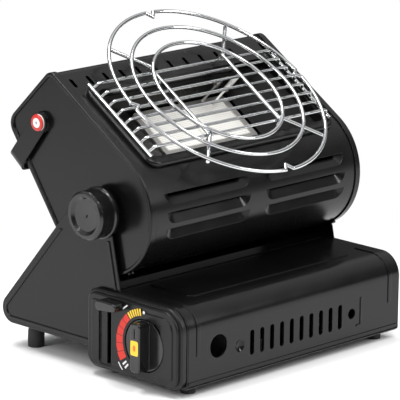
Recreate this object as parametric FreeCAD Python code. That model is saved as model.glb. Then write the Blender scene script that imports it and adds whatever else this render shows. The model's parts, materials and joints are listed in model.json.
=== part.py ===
"""Tabletop gas heater with a tilting drum-shaped head on a low cartridge case.

Frame: +Z up, millimetres, the case's front face towards -Y and the control
panel towards -X. The origin lies on the floor under the middle of the heater.
Pieces of the head are drawn lying flat, with the burner facing straight up and
the pivot at (0, 0), and are then tilted to their rest angle.
"""
import FreeCAD
import Part
import math
import os

Vector = FreeCAD.Vector
X_AXIS = Vector(1, 0, 0)
Y_AXIS = Vector(0, 1, 0)
Z_AXIS = Vector(0, 0, 1)

# Driving sizes of the heater
sheet = 1.2               # pressed steel sheet
running_gap = 0.05        # radial clearance of a turning shaft
seat_gap = 0.3            # gap between neighbours that move past each other
slip_gap = 0.5            # gap between the lid and the fixed case

drum_half_width = 142.3   # from the middle to the outside of an end cap
cap_gap = 2.7             # between the end caps and the side plates
case_length = 2 * (drum_half_width + cap_gap)
case_depth = 123.0
case_height = 75.5
case_roll = 22.0          # radius of the rolled front edge on top
case_corner = 12.0
foot_height = 8.0

stand_reach = 247.5       # from the case front to the back of the side plates
stand_bottom = 15.0       # side plates' lower edge above the case floor
pivot_inset = 12.0        # pivot in front of the case's back wall
pivot_up = 147.0          # pivot above the case floor
rest_tilt = 33.0          # slope of the burner face at rest
tilt_forward = 57.0       # from rest to burner facing the front
tilt_back = 33.0          # from rest to burner facing up

drum_radius = 61.0        # outer radius of the end caps
drum_top_length = 128.9   # flat top behind the pivot
drum_back_length = 146.7
drum_back_drop = 19.0
drum_heel_length = 37.6
cap_rim_width = 7.0
cap_recess = 2.0          # end cap's face behind its rolled rim
cap_roll_width = 4.0
cap_roll_round = 1.5

window_margin = 24.3      # from the burner window's end to the outside of the end cap
window_length = 2 * (drum_half_width - window_margin)
window_width = 96.0
window_centre = 44.0      # window centre behind the pivot, along the slope
frame_border = 7.0
frame_rise = 5.0

grille_height = 13.4      # grille wires above the drum's flat top
grille_centre = 47.0
grille_half = window_length / 2 - 2.3
grille_wire = 3.0         # diameter
rail_place = window_length / 2 + 2.5
rail_wire = 4.0           # diameter
grille_pitch = 12.5
grille_count = 8

ring_radii = (66.5, 88.3, 111.2)
ring_wire = 3.6           # diameter
ring_height = 9.0         # ring plane above the grille wires
notch_half = 5.0          # half width of a notch in the outer ring
notch_depth = 6.5
spoke_half = 48.0         # runs of the support wires either side of the middle
weld_gap = 0.05           # between a ring and the spokes that it is welded to

knob_radius = 24.0
grip_rise = 13.5
grip_width = 12.5
dial_back = 44.5          # dial centre behind the case front
dial_up = 35.5
panel_depth = 9.0
panel_face_rise = 1.0     # raised middle of the panel

tilt_knob_radius = 23.0
tilt_knob_depth = 20.8
press_rise = 1.2          # rise of the side plates' pressed bead and pivot boss
stud_radius = 4.0

rear_foot_radius = 8.0

# Places worked out from the driving sizes
half_length = case_length / 2
bead_rise = 0.8           # rise of the lid's pressed beads
front_y = -(stand_reach - bead_rise) / 2
back_y = front_y + case_depth
floor_z = foot_height
top_z = floor_z + case_height
pivot_y = back_y - pivot_inset
pivot_z = floor_z + pivot_up
plate_inner = half_length
plate_outer = half_length + sheet
stand_z = floor_z + stand_bottom
burner_top = drum_radius - sheet
dial_y = front_y + dial_back
dial_z = floor_z + dial_up
panel_front = -half_length - panel_depth - panel_face_rise

# Allowances of the modelling itself
over = 1.0                # how far a cutter runs past what it cuts
near = 0.01               # how close an edge lies to a face that it is rounded with
smallest_gap = 1e-6       # points of an outline nearer than this count as one
least_corner = 1.0        # smallest corner radius of an inset outline
case_edge = 3.0           # lower front corner of the case

# Sizes of single pieces
deck_depth = 31.0         # fixed deck behind the lid
lid_length = case_depth - deck_depth
lid_rise = 3.0            # lid's lower edge above the case floor
lid_low_gap = 1.0         # room under the lid's lower edge
tray_lip = 12.0           # height of the upturned lip behind the lid's front
tray_strip = 6.0          # depth of the floor in front of the partition plate
lid_pin_radius = 1.5
lid_pin_inset = 2.0       # hinge rod in front of the lid's back edge
knuckle_wall = 1.5
knuckle_length = 20.0
knuckle_place = half_length - 49.0
deck_gap = 3.5
lid_pin_y = front_y + lid_length - lid_pin_inset
lid_pin_z = top_z - sheet - lid_pin_radius - knuckle_wall
slot_count = 10
slot_pitch = 13.4
slot_height = 24.0
slot_width = 5.6
slot_start = 85.1 - half_length
slot_up = 29.0
peep_place = 40.6 - half_length
peep_up = 34.6
peep_radius = 11.0
spare_hole_place = slot_start + slot_count * slot_pitch + 3.2
spare_hole_radius = 5.0
collar_wall = 0.9         # turned-in rim round each opening of the lid's front
collar_depth = 1.5
dent_place = slot_start - 16.2
dent_radius = 6.0
dent_depth = 2.2
bead_width = 4.0
bead_place = half_length - 14.0
bead_reach = 44.0
bead_low = 30.0
label_half = half_length - 36.0
label_front = 31.0
label_back = 4.0
label_round = 6.0
hook_place = spare_hole_place + 12.0
hook_width = 2.0          # pressed hook mark beside the spare hole
hook_low = 17.0
hook_high = 43.0
hook_toe = 5.0
hem_up = 2.0              # pressed line over the lid's lower edge
hem_width = 2.0
back_slot_count = 8       # air slots in the case's back wall
back_slot_pitch = 1.6 * slot_pitch
back_slot_shift = 20.0
back_slot_width = 5.0
back_slot_low = 30.0
back_slot_high = 54.0

lever_inset = 31.0        # lever in front of the case's back wall
lever_slot_y = back_y - lever_inset
lever_slot_width = 5.0
lever_slot_end = 4.0      # slot's run past the lever at its top
lever_top = 66.0
lever_bottom = 8.0
lever_half = lever_slot_width / 2 - seat_gap
lever_arm_half = 3.0
lever_seat = 3.0          # depth of the arm's seat in its finger knob
lever_knob_rise = 12.0
lever_knob_gap = 1.5
lever_knob_front = 20.0
lever_knob_back = 6.0
lever_knob_thin = 3.5     # knob's reach under the arm's middle, at its front and back
lever_knob_thick = 5.5
lever_knob_up = 4.5
lever_knob_corners = (3.0, 4.0, 4.0, 3.5)
lever_knob_round = 1.5
crank_reach = 10.0        # crank inside the end wall
crank_width = 3.0
crank_drop = 14.0

panel_step = 3.0          # first step of the panel, in depth and inset
panel_face_inset = 9.0
panel_rim_round = 1.8
panel_step_round = 1.6
panel_face_round = 0.7
panel_wall = 5.5
dial_gap = 1.0            # gap round the dial's disc
recess_depth = 0.8
recess_round = 3.0
lever_recess_front = 5.0
lever_recess_back = 12.0
lever_recess_low = 6.0
lever_recess_high = 9.0
thumb_recess_y = (-21.0, -12.0)
thumb_recess_z = (13.0, 23.0)
disc_rise = 0.6
disc_depth = 5.0
grip_inset = 0.6
grip_round = 4.0
grip_edge = 1.5
pointer_width = 1.6
pointer_depth = 1.0
pointer_low = 14.0        # pointer notch, down from the grip's end
pointer_high = 5.0
spindle_cover = 1.0       # dial's wall over the spindle's end

cartridge_radius = 33.5
cartridge_gap = 0.5       # gap between the cartridge and its saddles
cartridge_y = front_y + 60.0
cartridge_z = floor_z + 37.0
collar_radius = 16.5
valve_x0 = -half_length + sheet + 4.0
valve_x1 = valve_x0 + 30.0
valve_half = 14.0
valve_lug = 6.0           # lugs that carry the valve on the end wall
valve_rear_lug = 8.0
regulator_radius = 20.0
regulator_length = 12.0
nozzle_boss_radius = 9.0
nozzle_reach = 2.0
nozzle_radius = 3.0
nozzle_depth = 4.0
outlet_radius = 7.0
outlet_reach = 6.0
bay_start = valve_x1 + 25.8
spindle_radius = 3.0
spindle_gap = 1.0         # gap round the spindle in the end wall
spindle_seat = 12.0       # spindle's depth in the valve
spindle_end_gap = 0.5
partition_drop = 12.0
partition_round = 2.0
rod_notch = 6.0           # opening of the partition plate round the lid's hinge rod
key_width = 3.0
key_length = 4.0
key_root = 2.0
key_rise = 4.0
partition_foot = 8.0
yoke_place = bay_start + 8.0
yoke_sheet = 2.0
yoke_half = 26.0
yoke_up = 4.0
yoke_round = 3.0
yoke_bore = 20.0
yoke_foot = 22.0
yoke_foot_half = 14.0
saddle_places = (bay_start + 66.0, bay_start + 176.0)
saddle_width = 16.0
saddle_half = 26.0
saddle_low = 18.0
piezo_back = 24.0
piezo_down = 12.0
piezo_radius = 7.0
piezo_length = 26.0
piezo_tip_radius = 2.5
piezo_tip_length = 6.0

pipe_radius = 4.0
pipe_place = 27.0 - half_length
pipe_angle = -70.0        # where the pipe comes up to the pivot, seen from the side
pipe_z = floor_z + 42.0
pipe_seat = 12.0          # pipe's start behind the cartridge's axis
pipe_bend = 15.0
grommet_gap = 0.1
grommet_wall = 2.0
grommet_lip = 4.0
grommet_rise = 2.0
slot_clear = 2.0
slot_margin = 6.0         # degrees of the pipe's slot past each end of the tilt
slot_root = 40.0
slot_reach = 110.0
swivel_radius = 9.0
swivel_bore = 5.05
swivel_width = 10.0
swivel_sink = 1.0         # depth of the pipe's end in the swivel ring
jet_x = pipe_place + 28.0
bolt_radius = 8.0
bolt_head = 3.0

handle_back = 110.0       # handle pivot behind the head's pivot, head lying flat
handle_up = 12.0
handle_outer = drum_half_width + 3.0
handle_length = 58.0
handle_width = 19.4
handle_sheet = 2.0
handle_hang = 5.0
handle_bend = 9.0
rivet_radius = 3.0
rivet_cap_radius = 8.0
rivet_cap_depth = 3.0
rivet_cap_round = 1.4
rivet_tail = 6.0
rivet_disc_radius = 5.5
rivet_disc_depth = 2.0
bush_radius = 10.0

flange_width = 8.0        # folded edges of the side plates
fold_top = 98.0           # height of the top of the folded back edges
fold_start = 2.0          # folded edges' start behind the case
stand_corner = 14.0
stand_front = 49.0        # foot of the front edge in front of the pivot
stand_top = 40.0          # top of the back edge behind the pivot
stand_front_round = 3.0
stand_top_round = 8.0
shoulder_back = 6.0
shoulder_up = 19.0
shoulder_round = 4.0
cheek_front = 8.0
waist_front = 14.0
neck_front = 26.0
neck_drop = 2.0
stand_head = 20.0         # radius of the plate round the pivot
edge_round = 1.0
plate_bead_inset = 4.5
plate_bead_width = 3.0
plate_bead_top = 26.0
bead_round = 0.9
short_edge = 10.0         # edges of the bead shorter than this stay sharp
panel_clear = 0.6         # cut of the left bead round the control panel
boss_radius = 14.0
fold_gap = 0.05           # between the folded edges and the rear sheet inside them
rear_lip = 12.0
stud_reach = 14.0         # stud's end outside the side plate
stud_end_gap = 0.5
nut_radius = 8.0
nut_depth = 5.0
washer_radius = 13.0
knob_flange = 1.5
knob_flange_depth = 3.0
knob_cone = 1.0
knob_chamfer = 2.0
knob_rim = 5.0
knob_dish_edge = 8.0
knob_dish = 2.5
knob_dish_middle = 3.0

foot_place = half_length - 17.5
case_foot_places = (front_y + 16.0, back_y - 17.0)
case_foot_radius = 7.0
case_foot_neck = 5.5
rear_foot_place = front_y + stand_reach - 27.5
rear_foot_neck = 6.5
foot_straight = 0.55      # share of a foot's height under its waist
screw_place = drum_half_width - 5.0
screw_angles = (208.0, 262.0)
screw_radius = 1.5
screw_length = 4.0
screw_hole_depth = 6.0
screw_head_radius = 3.2
screw_head_rise = 1.8

drum_top_round = 10.0
drum_back_round = 14.0
drum_heel_round = 40.0
inset_shift_share = 0.2   # shares of an inset at the corner between back and underside
inset_drop_share = 0.9
shell_half = drum_half_width - cap_recess - sheet
flat_cut = 10.0           # reach of the flat top's cutters up and down
back_sheet_start = 118.0
back_sheet_top = 44.0
under_sheet_start = 62.0
back_vent_rows = (-8.0, 6.0)
back_vent_count = 9
back_vent_pitch = (drum_half_width - 46.3) / 4
back_vent_length = 18.0
back_vent_width = 4.0

louver_gap = 21.0
louver_length = drum_half_width - louver_gap / 2 - 21.8
louver_angles = (130.0, 147.0, 162.0)
louver_height = 11.0
louver_depth = 4.5
louver_slit = 2.6

vent_count = 13
vent_pitch = 2 * (drum_half_width - 15.1) / (vent_count - 1)
vent_length = 12.0
vent_width = 4.4
vent_centre = 108.0

window_half_x = window_length / 2
window_low = window_centre - window_width / 2
window_high = window_low + window_width
window_round = 10.0
frame_round = 12.0
frame_edge = 3.0
frame_lap = 2.0           # frame's lap over the edge of the window
frame_inner_round = 9.0
frame_wall = 4.0
frame_lip_gap = 0.8
frame_lip_round = 9.5
frame_lip_depth = 6.0
frame_lip_root = 1.0
reflector_wall = 1.0
reflector_round = 6.0
reflector_lap_x = 6.0
reflector_lap_s = 5.0

ceramic_width = drum_half_width - 82.3
ceramic_length = 56.0
ceramic_thick = 13.0
ceramic_centre = 50.0
ceramic_gap = 1.0
ceramic_top = 33.0
retainer_thick = 1.0
retainer_width = 6.0
plenum_wall = 1.5
plenum_depth = 24.0
plenum_round = 5.0
plenum_ledge = 4.0
plenum_half_x = ceramic_width + ceramic_gap / 2 + plenum_wall
plenum_half_s = ceramic_length / 2 + plenum_wall
plenum_low = ceramic_top - ceramic_thick - plenum_depth
plenum_inlet_z = plenum_low + plenum_depth / 2
mixer_radius = 7.0
mixer_run = 13.0
mixer_lead = 12.0
mixer_seat = 4.0
mixer_bend = 9.0

probe_places = ((30.0, 64.0), (22.0, 71.0))
probe_turn = 25.0
probe_lean = 0.1
probe_rise = 9.0
probe_length = 66.0
probe_radius = 2.6
probe_wire_radius = 1.2
probe_bare_share = 0.45

grille_bend = 3.5
rail_overhang = 6.0
support_hook_drop = 3.0
support_hook_bend = 2.0
spoke_inset = 3.0
spoke_lap = 1.0


def face_of(points, place):
    """Closed face through corner points (u, v, fillet radius), put in space by place(u, v)."""
    count = len(points)
    edges = []
    starts = []
    ends = []
    mids = []
    for index in range(count):
        previous = points[index - 1]
        u, v, radius = points[index]
        following = points[(index + 1) % count]
        to_previous = (previous[0] - u, previous[1] - v)
        to_following = (following[0] - u, following[1] - v)
        length_previous = math.hypot(*to_previous)
        length_following = math.hypot(*to_following)
        unit_previous = (to_previous[0] / length_previous, to_previous[1] / length_previous)
        unit_following = (to_following[0] / length_following, to_following[1] / length_following)
        if radius <= 0:
            starts.append((u, v))
            ends.append((u, v))
            mids.append(None)
            continue
        cosine = unit_previous[0] * unit_following[0] + unit_previous[1] * unit_following[1]
        half = math.acos(max(-1.0, min(1.0, cosine))) / 2
        reach = radius / math.tan(half)
        bisector = (unit_previous[0] + unit_following[0], unit_previous[1] + unit_following[1])
        size = math.hypot(*bisector)
        depth = radius / math.sin(half) - radius
        starts.append((u + unit_previous[0] * reach, v + unit_previous[1] * reach))
        ends.append((u + unit_following[0] * reach, v + unit_following[1] * reach))
        mids.append((u + bisector[0] / size * depth, v + bisector[1] / size * depth))
    for index in range(count):
        if mids[index]:
            arc = Part.Arc(place(*starts[index]), place(*mids[index]), place(*ends[index]))
            edges.append(arc.toShape())
        following_start = starts[(index + 1) % count]
        if math.dist(ends[index], following_start) > smallest_gap:
            edges.append(Part.makeLine(place(*ends[index]), place(*following_start)))
    return Part.Face(Part.Wire(edges))


def side_face(points, x=0.0):
    """Face in a YZ plane from (y, z, radius) corners."""
    return face_of(points, lambda u, v: Vector(x, u, v))


def flat_face(points, z=0.0):
    """Face in an XY plane from (x, y, radius) corners."""
    return face_of(points, lambda u, v: Vector(u, v, z))


def slab_x(points, x0, x1):
    """Solid between x0 and x1 with a (y, z, radius) outline."""
    return side_face(points, x0).extrude(Vector(x1 - x0, 0, 0))


def slab_z(points, z0, z1):
    """Solid between z0 and z1 with an (x, y, radius) outline."""
    return flat_face(points, z0).extrude(Vector(0, 0, z1 - z0))


def box(x0, x1, y0, y1, z0, z1):
    """Plain block between two corners."""
    return Part.makeBox(x1 - x0, y1 - y0, z1 - z0, Vector(x0, y0, z0))


def rod(radius, start, end):
    """Round bar between two points."""
    run = end.sub(start)
    return Part.makeCylinder(radius, run.Length, start, run)


def bar_x(radius, x0, x1, y, z):
    """Round bar along X between x0 and x1."""
    return rod(radius, Vector(x0, y, z), Vector(x1, y, z))


def tube(outer, inner, start, end):
    """Round tube between two points."""
    return rod(outer, start, end).cut(rod(inner, start, end))


def rectangle(u0, u1, v0, v1, radius):
    """Corner list of a rounded rectangle."""
    return [(u0, v0, radius), (u1, v0, radius), (u1, v1, radius), (u0, v1, radius)]


def wire_run(points, diameter, bend):
    """Bent round wire through the points, with bends of the given radius."""
    edges = []
    last = points[0]
    for index in range(1, len(points) - 1):
        corner = points[index]
        back = points[index - 1].sub(corner).normalize()
        ahead = points[index + 1].sub(corner).normalize()
        half = back.getAngle(ahead) / 2
        reach = bend / math.tan(half)
        depth = bend / math.sin(half) - bend
        start = corner + back * reach
        end = corner + ahead * reach
        middle = corner + (back + ahead).normalize() * depth
        edges.append(Part.makeLine(last, start))
        edges.append(Part.Arc(start, middle, end).toShape())
        last = end
    edges.append(Part.makeLine(last, points[-1]))
    path = Part.Wire(edges)
    direction = points[1].sub(points[0])
    section = Part.Wire(Part.makeCircle(diameter / 2, points[0], direction))
    return path.makePipeShell([section], True, False)


def mirrored(shape):
    """Copy on the other side of the middle plane."""
    return shape.mirror(Vector(0, 0, 0), X_AXIS)


def head_place(shape):
    """Tilt a flat-drawn head piece to its rest angle and carry it to the pivot."""
    placed = shape.copy()
    placed.rotate(Vector(0, 0, 0), X_AXIS, rest_tilt)
    placed.translate(Vector(0, pivot_y, pivot_z))
    return placed


def fused(shapes):
    """One clean solid from overlapping pieces."""
    result = shapes[0]
    if len(shapes) > 1:
        result = result.multiFuse(shapes[1:])
    return result.removeSplitter()


def group(shapes):
    """Separate solids that share a node."""
    return Part.makeCompound(shapes)


def edges_at(shape, x):
    """Edges of a shape whose middle lies at one X."""
    return [edge for edge in shape.Edges if abs(edge.CenterOfMass.x - x) < near]


def case_outline(inset, front_corner=case_edge):
    """Cross-section of the case, set in by a distance on every side."""
    front = front_y + inset
    back = back_y - inset
    low = floor_z + inset
    high = top_z - inset
    back_corner = max(case_corner - inset, least_corner)
    return [(front, low, max(front_corner - inset, least_corner)), (back, low, back_corner),
            (back, high, back_corner), (front, high, case_roll - inset)]


def drum_points(inset):
    """Side outline of the head lying flat, set in by a distance: top, back, underside, heel."""
    top = drum_radius - inset
    slope = math.atan2(drum_top_length - drum_back_length, drum_radius + drum_back_drop)
    back_shift = inset / math.cos(slope)
    heel_rise = math.atan2(drum_radius - drum_back_drop, drum_back_length - drum_heel_length)
    heel_shift = inset * math.tan(heel_rise / 2)
    back_low = drum_back_length - back_shift - inset * math.tan(heel_rise) * inset_shift_share
    low_drop = drum_back_drop - inset * inset_drop_share
    top_end = drum_top_length - back_shift + inset * math.tan(-slope)
    return top, top_end, back_low, low_drop, drum_heel_length - heel_shift


def drum_face(inset, x):
    """Closed side outline: flat top, rounded back corners, sloping underside and round front."""
    top, top_end, back_low, low_drop, heel = drum_points(inset)
    corners = [(0.0, top, 0.0), (top_end, top, drum_top_round - inset),
               (back_low, -low_drop, drum_back_round - inset), (heel, -top, drum_heel_round - inset),
               (0.0, -top, 0.0)]
    outline = face_of(corners, lambda u, v: Vector(x, u, v))
    front = side_disc(top, x)
    return outline, front


def side_disc(radius, x):
    """Round face about the pivot in a YZ plane."""
    circle = Part.makeCircle(radius, Vector(x, 0, 0), X_AXIS)
    return Part.Face(Part.Wire(circle))


def drum_block(inset, x0, x1):
    """Solid of the head's side outline between two X places."""
    outline, front = drum_face(inset, x0)
    run = Vector(x1 - x0, 0, 0)
    return outline.extrude(run).fuse(front.extrude(run)).removeSplitter()


def end_ring(outer_inset, inner_inset, x0, x1):
    """Thin wall that follows the head's side outline."""
    return drum_block(outer_inset, x0, x1).cut(drum_block(inner_inset, x0 - over, x1 + over))


def base_pan():
    """Case tray: floor, back wall with the rear deck, both end walls and a front lip."""
    inner = half_length - sheet
    shell = slab_x(case_outline(0), -half_length, half_length)
    shell = shell.cut(slab_x(case_outline(sheet), -inner, inner))
    lip_y = front_y + sheet + slip_gap
    lip_top = floor_z + tray_lip
    deck_start = front_y + lid_length + deck_gap
    opening = box(-inner, inner, front_y - over, deck_start, lip_top, top_z + over)
    front_clear = box(-inner, inner, front_y - over, lip_y, floor_z + lid_rise - lid_low_gap, top_z)
    shell = shell.cut(opening).cut(front_clear)
    lip = box(-inner, inner, lip_y, lip_y + sheet, floor_z, lip_top)
    floor_strip = box(-inner, inner, lip_y, front_y + tray_strip, floor_z, floor_z + sheet)
    shell = shell.fuse([lip, floor_strip])
    return shell.cut(base_pan_holes(inner)).removeSplitter()


def base_pan_holes(inner):
    """Cutters for the spindle, lever, gas pipe, hinge rod and air slots of the case tray."""
    holes = [bar_x(spindle_radius + spindle_gap, -half_length - over, -inner + over, dial_y, dial_z)]
    holes.append(lever_slot(-half_length - over, -inner + over))
    wall = (back_y - sheet - over, back_y + over)
    holes.append(rod(pipe_radius + grommet_wall, Vector(pipe_place, wall[0], pipe_z),
                     Vector(pipe_place, wall[1], pipe_z)))
    for side in (-1, 1):
        ends = (side * (inner - over), side * (half_length + over))
        holes.append(bar_x(lid_pin_radius, *ends, lid_pin_y, lid_pin_z))
    for index in range(back_slot_count):
        x = (index - (back_slot_count - 1) / 2) * back_slot_pitch + back_slot_shift
        holes.append(box(x - back_slot_width / 2, x + back_slot_width / 2, wall[0], wall[1],
                         floor_z + back_slot_low, floor_z + back_slot_high))
    return holes


def lever_slot(x0, x1):
    """Cutter for the upright slot that the cartridge lever runs in."""
    return box(x0, x1, lever_slot_y - lever_slot_width / 2, lever_slot_y + lever_slot_width / 2,
               floor_z + lever_bottom, floor_z + lever_top + lever_slot_end)


def cartridge_lid():
    """Lid: top, rolled front edge and slotted front face in one sheet, with hinge knuckles."""
    reach = half_length - sheet - slip_gap
    shell = slab_x(case_outline(0), -reach, reach).cut(slab_x(case_outline(sheet), -reach - over, reach + over))
    keep = box(-reach, reach, front_y - over, front_y + lid_length, floor_z + lid_rise, top_z + over)
    shell = shell.common(keep).fuse(lid_pressings(reach) + lid_knuckles())
    cuts = [bar_x(lid_pin_radius + running_gap, -reach, reach, lid_pin_y, lid_pin_z)]
    for index in range(slot_count):
        x = slot_start + index * slot_pitch
        cuts.append(front_slot(x, slot_width, slot_height, floor_z + slot_up))
    cuts.append(front_hole(peep_place, floor_z + peep_up, peep_radius))
    cuts.append(front_hole(spare_hole_place, floor_z + slot_up, spare_hole_radius))
    backing, dent = front_dent()
    return shell.fuse(front_collars() + [backing]).cut(cuts + [dent]).removeSplitter()


def lid_pressings(reach):
    """Raised forms of the lid: two end beads, the label field, the hook mark and the line over the hem."""
    bead = slab_x(case_outline(-bead_rise), 0, bead_width)
    bead = bead.cut(slab_x(case_outline(sheet / 2), -over, bead_width + over))
    bead = bead.common(box(-over, bead_width + over, front_y - bead_rise - over, front_y + bead_reach,
                           floor_z + bead_low, top_z + bead_rise + over))
    forms = []
    for side in (-1, 1):
        copy = bead.copy()
        copy.translate(Vector(side * bead_place - bead_width / 2, 0, 0))
        forms.append(copy)
    label_end = front_y + lid_length - label_back
    raised = rectangle(-label_half, label_half, front_y + label_front, label_end, label_round)
    forms.append(slab_z(raised, top_z - sheet / 2, top_z + bead_rise))
    rise = (front_y - bead_rise, front_y + sheet / 2)
    forms.append(box(hook_place, hook_place + hook_width, *rise, floor_z + hook_low, floor_z + hook_high))
    forms.append(box(hook_place - hook_toe, hook_place + hook_width / 2, *rise, floor_z + hook_low - hook_width,
                     floor_z + hook_low))
    hem_z = floor_z + lid_rise + hem_up
    forms.append(box(-reach, reach, *rise, hem_z, hem_z + hem_width))
    return forms


def lid_knuckles():
    """Two hinge knuckles under the lid's back edge."""
    outer = lid_pin_radius + knuckle_wall
    knuckles = []
    for side in (-1, 1):
        x0 = side * knuckle_place - knuckle_length / 2
        x1 = x0 + knuckle_length
        knuckles.append(bar_x(outer, x0, x1, lid_pin_y, lid_pin_z))
        knuckles.append(box(x0, x1, lid_pin_y - outer, lid_pin_y, lid_pin_z, top_z - sheet / 2))
    return knuckles


def front_collars():
    """Turned-in rims behind the slots and holes of the lid's front face."""
    rims = []
    width = slot_width + 2 * collar_wall
    height = slot_height + 2 * collar_wall
    for index in range(slot_count):
        rims.append(front_slot(slot_start + index * slot_pitch, width, height, floor_z + slot_up))
    rims.append(front_hole(spare_hole_place, floor_z + slot_up, spare_hole_radius + collar_wall))
    rims.append(front_hole(peep_place, floor_z + peep_up, peep_radius + collar_wall))
    behind = box(-half_length, half_length, front_y + sheet / 2, front_y + sheet + collar_depth, floor_z, top_z)
    return [rim.common(behind) for rim in rims]


def front_dent():
    """Round dent beside the slots: its backing and the cutter for its hollow."""
    radius = (dent_radius ** 2 + dent_depth ** 2) / (2 * dent_depth)
    centre = Vector(dent_place, front_y - radius + dent_depth, floor_z + slot_up)
    backing = Part.makeSphere(radius + sheet, centre)
    deepest = front_y + dent_depth + sheet + over
    behind = box(-half_length, half_length, front_y + sheet / 2, deepest, floor_z, top_z)
    return backing.common(behind), Part.makeSphere(radius, centre)


def front_hole(x, z, radius):
    """Cutter for a round hole through the lid's front face."""
    return rod(radius, Vector(x, front_y - over, z), Vector(x, front_y + sheet + collar_depth + over, z))


def front_slot(x, width, height, z):
    """Cutter for an upright round-ended slot through the lid's front face."""
    low = z - height / 2 + width / 2
    high = z + height / 2 - width / 2
    block = box(x - width / 2, x + width / 2, front_y - over, front_y + sheet + collar_depth + over, low, high)
    return block.fuse([front_hole(x, low, width / 2), front_hole(x, high, width / 2)])


def lid_pin():
    """Hinge rod of the lid, carried by both end walls."""
    return bar_x(lid_pin_radius, -half_length, half_length, lid_pin_y, lid_pin_z)


def panel_layer(inset, x0, x1, rounding):
    """One layer of the control panel, with its front edge rounded."""
    layer = slab_x(case_outline(inset, case_corner), x0, x1)
    return layer.makeFillet(rounding, edges_at(layer, x0))


def control_panel():
    """Moulded control panel: stepped rim, raised face, dial hole, lever channel and hollow back."""
    back_x = -plate_outer
    step_x = panel_front + panel_step
    face_x = panel_front - panel_face_rise
    body = panel_layer(0, step_x, back_x, panel_rim_round)
    body = body.fuse(panel_layer(panel_step, panel_front, step_x + over, panel_step_round))
    body = body.fuse(panel_layer(panel_face_inset, face_x, panel_front + over, panel_face_round))
    body = body.cut(slab_x(case_outline(panel_wall, case_corner), step_x, back_x + over))
    front = (face_x - over, panel_front + recess_depth)
    lever_recess = rectangle(lever_slot_y - lever_recess_front, lever_slot_y + lever_recess_back,
                             floor_z + lever_recess_low, top_z - lever_recess_high, recess_round)
    cuts = [bar_x(knob_radius + dial_gap, front[0], back_x, dial_y, dial_z),
            slab_x(lever_recess, *front), lever_slot(front[0], back_x),
            box(*front, dial_y + thumb_recess_y[0], dial_y + thumb_recess_y[1],
                dial_z + thumb_recess_z[0], dial_z + thumb_recess_z[1])]
    return body.cut(cuts).removeSplitter()


def control_knob():
    """Gas dial: flush disc with a raised bar grip that has rounded ends and a pointer notch."""
    disc = bar_x(knob_radius, panel_front - disc_rise, panel_front + disc_depth, dial_y, dial_z)
    reach = knob_radius - grip_inset
    grip_x = panel_front - grip_rise
    half = grip_width / 2
    bar = slab_x(rectangle(dial_y - half, dial_y + half, dial_z - reach, dial_z + reach, grip_round), grip_x,
                 panel_front)
    bar = bar.common(bar_x(reach, grip_x - over, panel_front + over, dial_y, dial_z))
    bar = bar.makeFillet(grip_edge, edges_at(bar, grip_x))
    notch = box(grip_x - over, grip_x + pointer_depth, dial_y - pointer_width / 2, dial_y + pointer_width / 2,
                dial_z + reach - pointer_low, dial_z + reach - pointer_high)
    bore = bar_x(spindle_radius, panel_front + spindle_cover, panel_front + disc_depth + over, dial_y, dial_z)
    return disc.fuse(bar).cut([notch, bore]).removeSplitter()


def knob_spindle():
    """Valve spindle that the dial sits on."""
    return bar_x(spindle_radius, panel_front + spindle_cover, valve_x0 + spindle_seat, dial_y, dial_z)


def gas_valve():
    """Valve and regulator body with the spindle bore, the nozzle boss and the outlet boss."""
    front = dial_y - valve_half
    back = cartridge_y + valve_half
    low = dial_z - valve_half
    high = dial_z + valve_half
    wall = -half_length + sheet
    regulator_x = valve_x1 + regulator_length
    block = box(valve_x0, valve_x1, front, back, low, high)
    block = block.fuse([bar_x(regulator_radius, valve_x1, regulator_x, cartridge_y, cartridge_z),
                        bar_x(nozzle_boss_radius, regulator_x, bay_start + nozzle_reach, cartridge_y, cartridge_z),
                        rod(outlet_radius, Vector(pipe_place, back, pipe_z),
                            Vector(pipe_place, back + outlet_reach, pipe_z)),
                        box(wall, valve_x0, front, front + valve_lug, low, high),
                        box(wall, valve_x0, back - valve_rear_lug, back, low, high)])
    bore_end = valve_x0 + spindle_seat + spindle_end_gap
    bore = bar_x(spindle_radius + running_gap, valve_x0 - over, bore_end, dial_y, dial_z)
    nozzle_end = bay_start + nozzle_reach + over
    nozzle = bar_x(nozzle_radius, bay_start - nozzle_depth, nozzle_end, cartridge_y, cartridge_z)
    outlet = rod(pipe_radius, Vector(pipe_place, cartridge_y + pipe_seat, pipe_z),
                 Vector(pipe_place, back + outlet_reach + over, pipe_z))
    return block.cut([bore, nozzle, outlet]).removeSplitter()


def partition_plate():
    """Plate between the valve room and the cartridge bay, with the collar opening and its key."""
    front = front_y + tray_strip
    back = back_y - sheet
    low = floor_z + sheet
    high = top_z - sheet - partition_drop
    points = [(front, low, partition_round), (back, low, case_corner), (back, high, partition_round),
              (front, high, partition_round)]
    plate = slab_x(points, bay_start - sheet, bay_start)
    through = (bay_start - sheet - over, bay_start + over)
    plate = plate.cut(bar_x(collar_radius, through[0], through[1], cartridge_y, cartridge_z))
    rod_hole = box(*through, lid_pin_y - rod_notch, lid_pin_y + rod_notch, lid_pin_z - rod_notch, top_z)
    collar_top = cartridge_z + collar_radius
    key = box(bay_start - sheet, bay_start + key_length, cartridge_y - key_width / 2,
              cartridge_y + key_width / 2, collar_top - key_root, collar_top + key_rise)
    foot = box(bay_start - partition_foot, bay_start, front + partition_round, back - case_corner, low,
               low + sheet)
    return plate.cut(rod_hole).fuse([key, foot]).removeSplitter()


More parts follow.
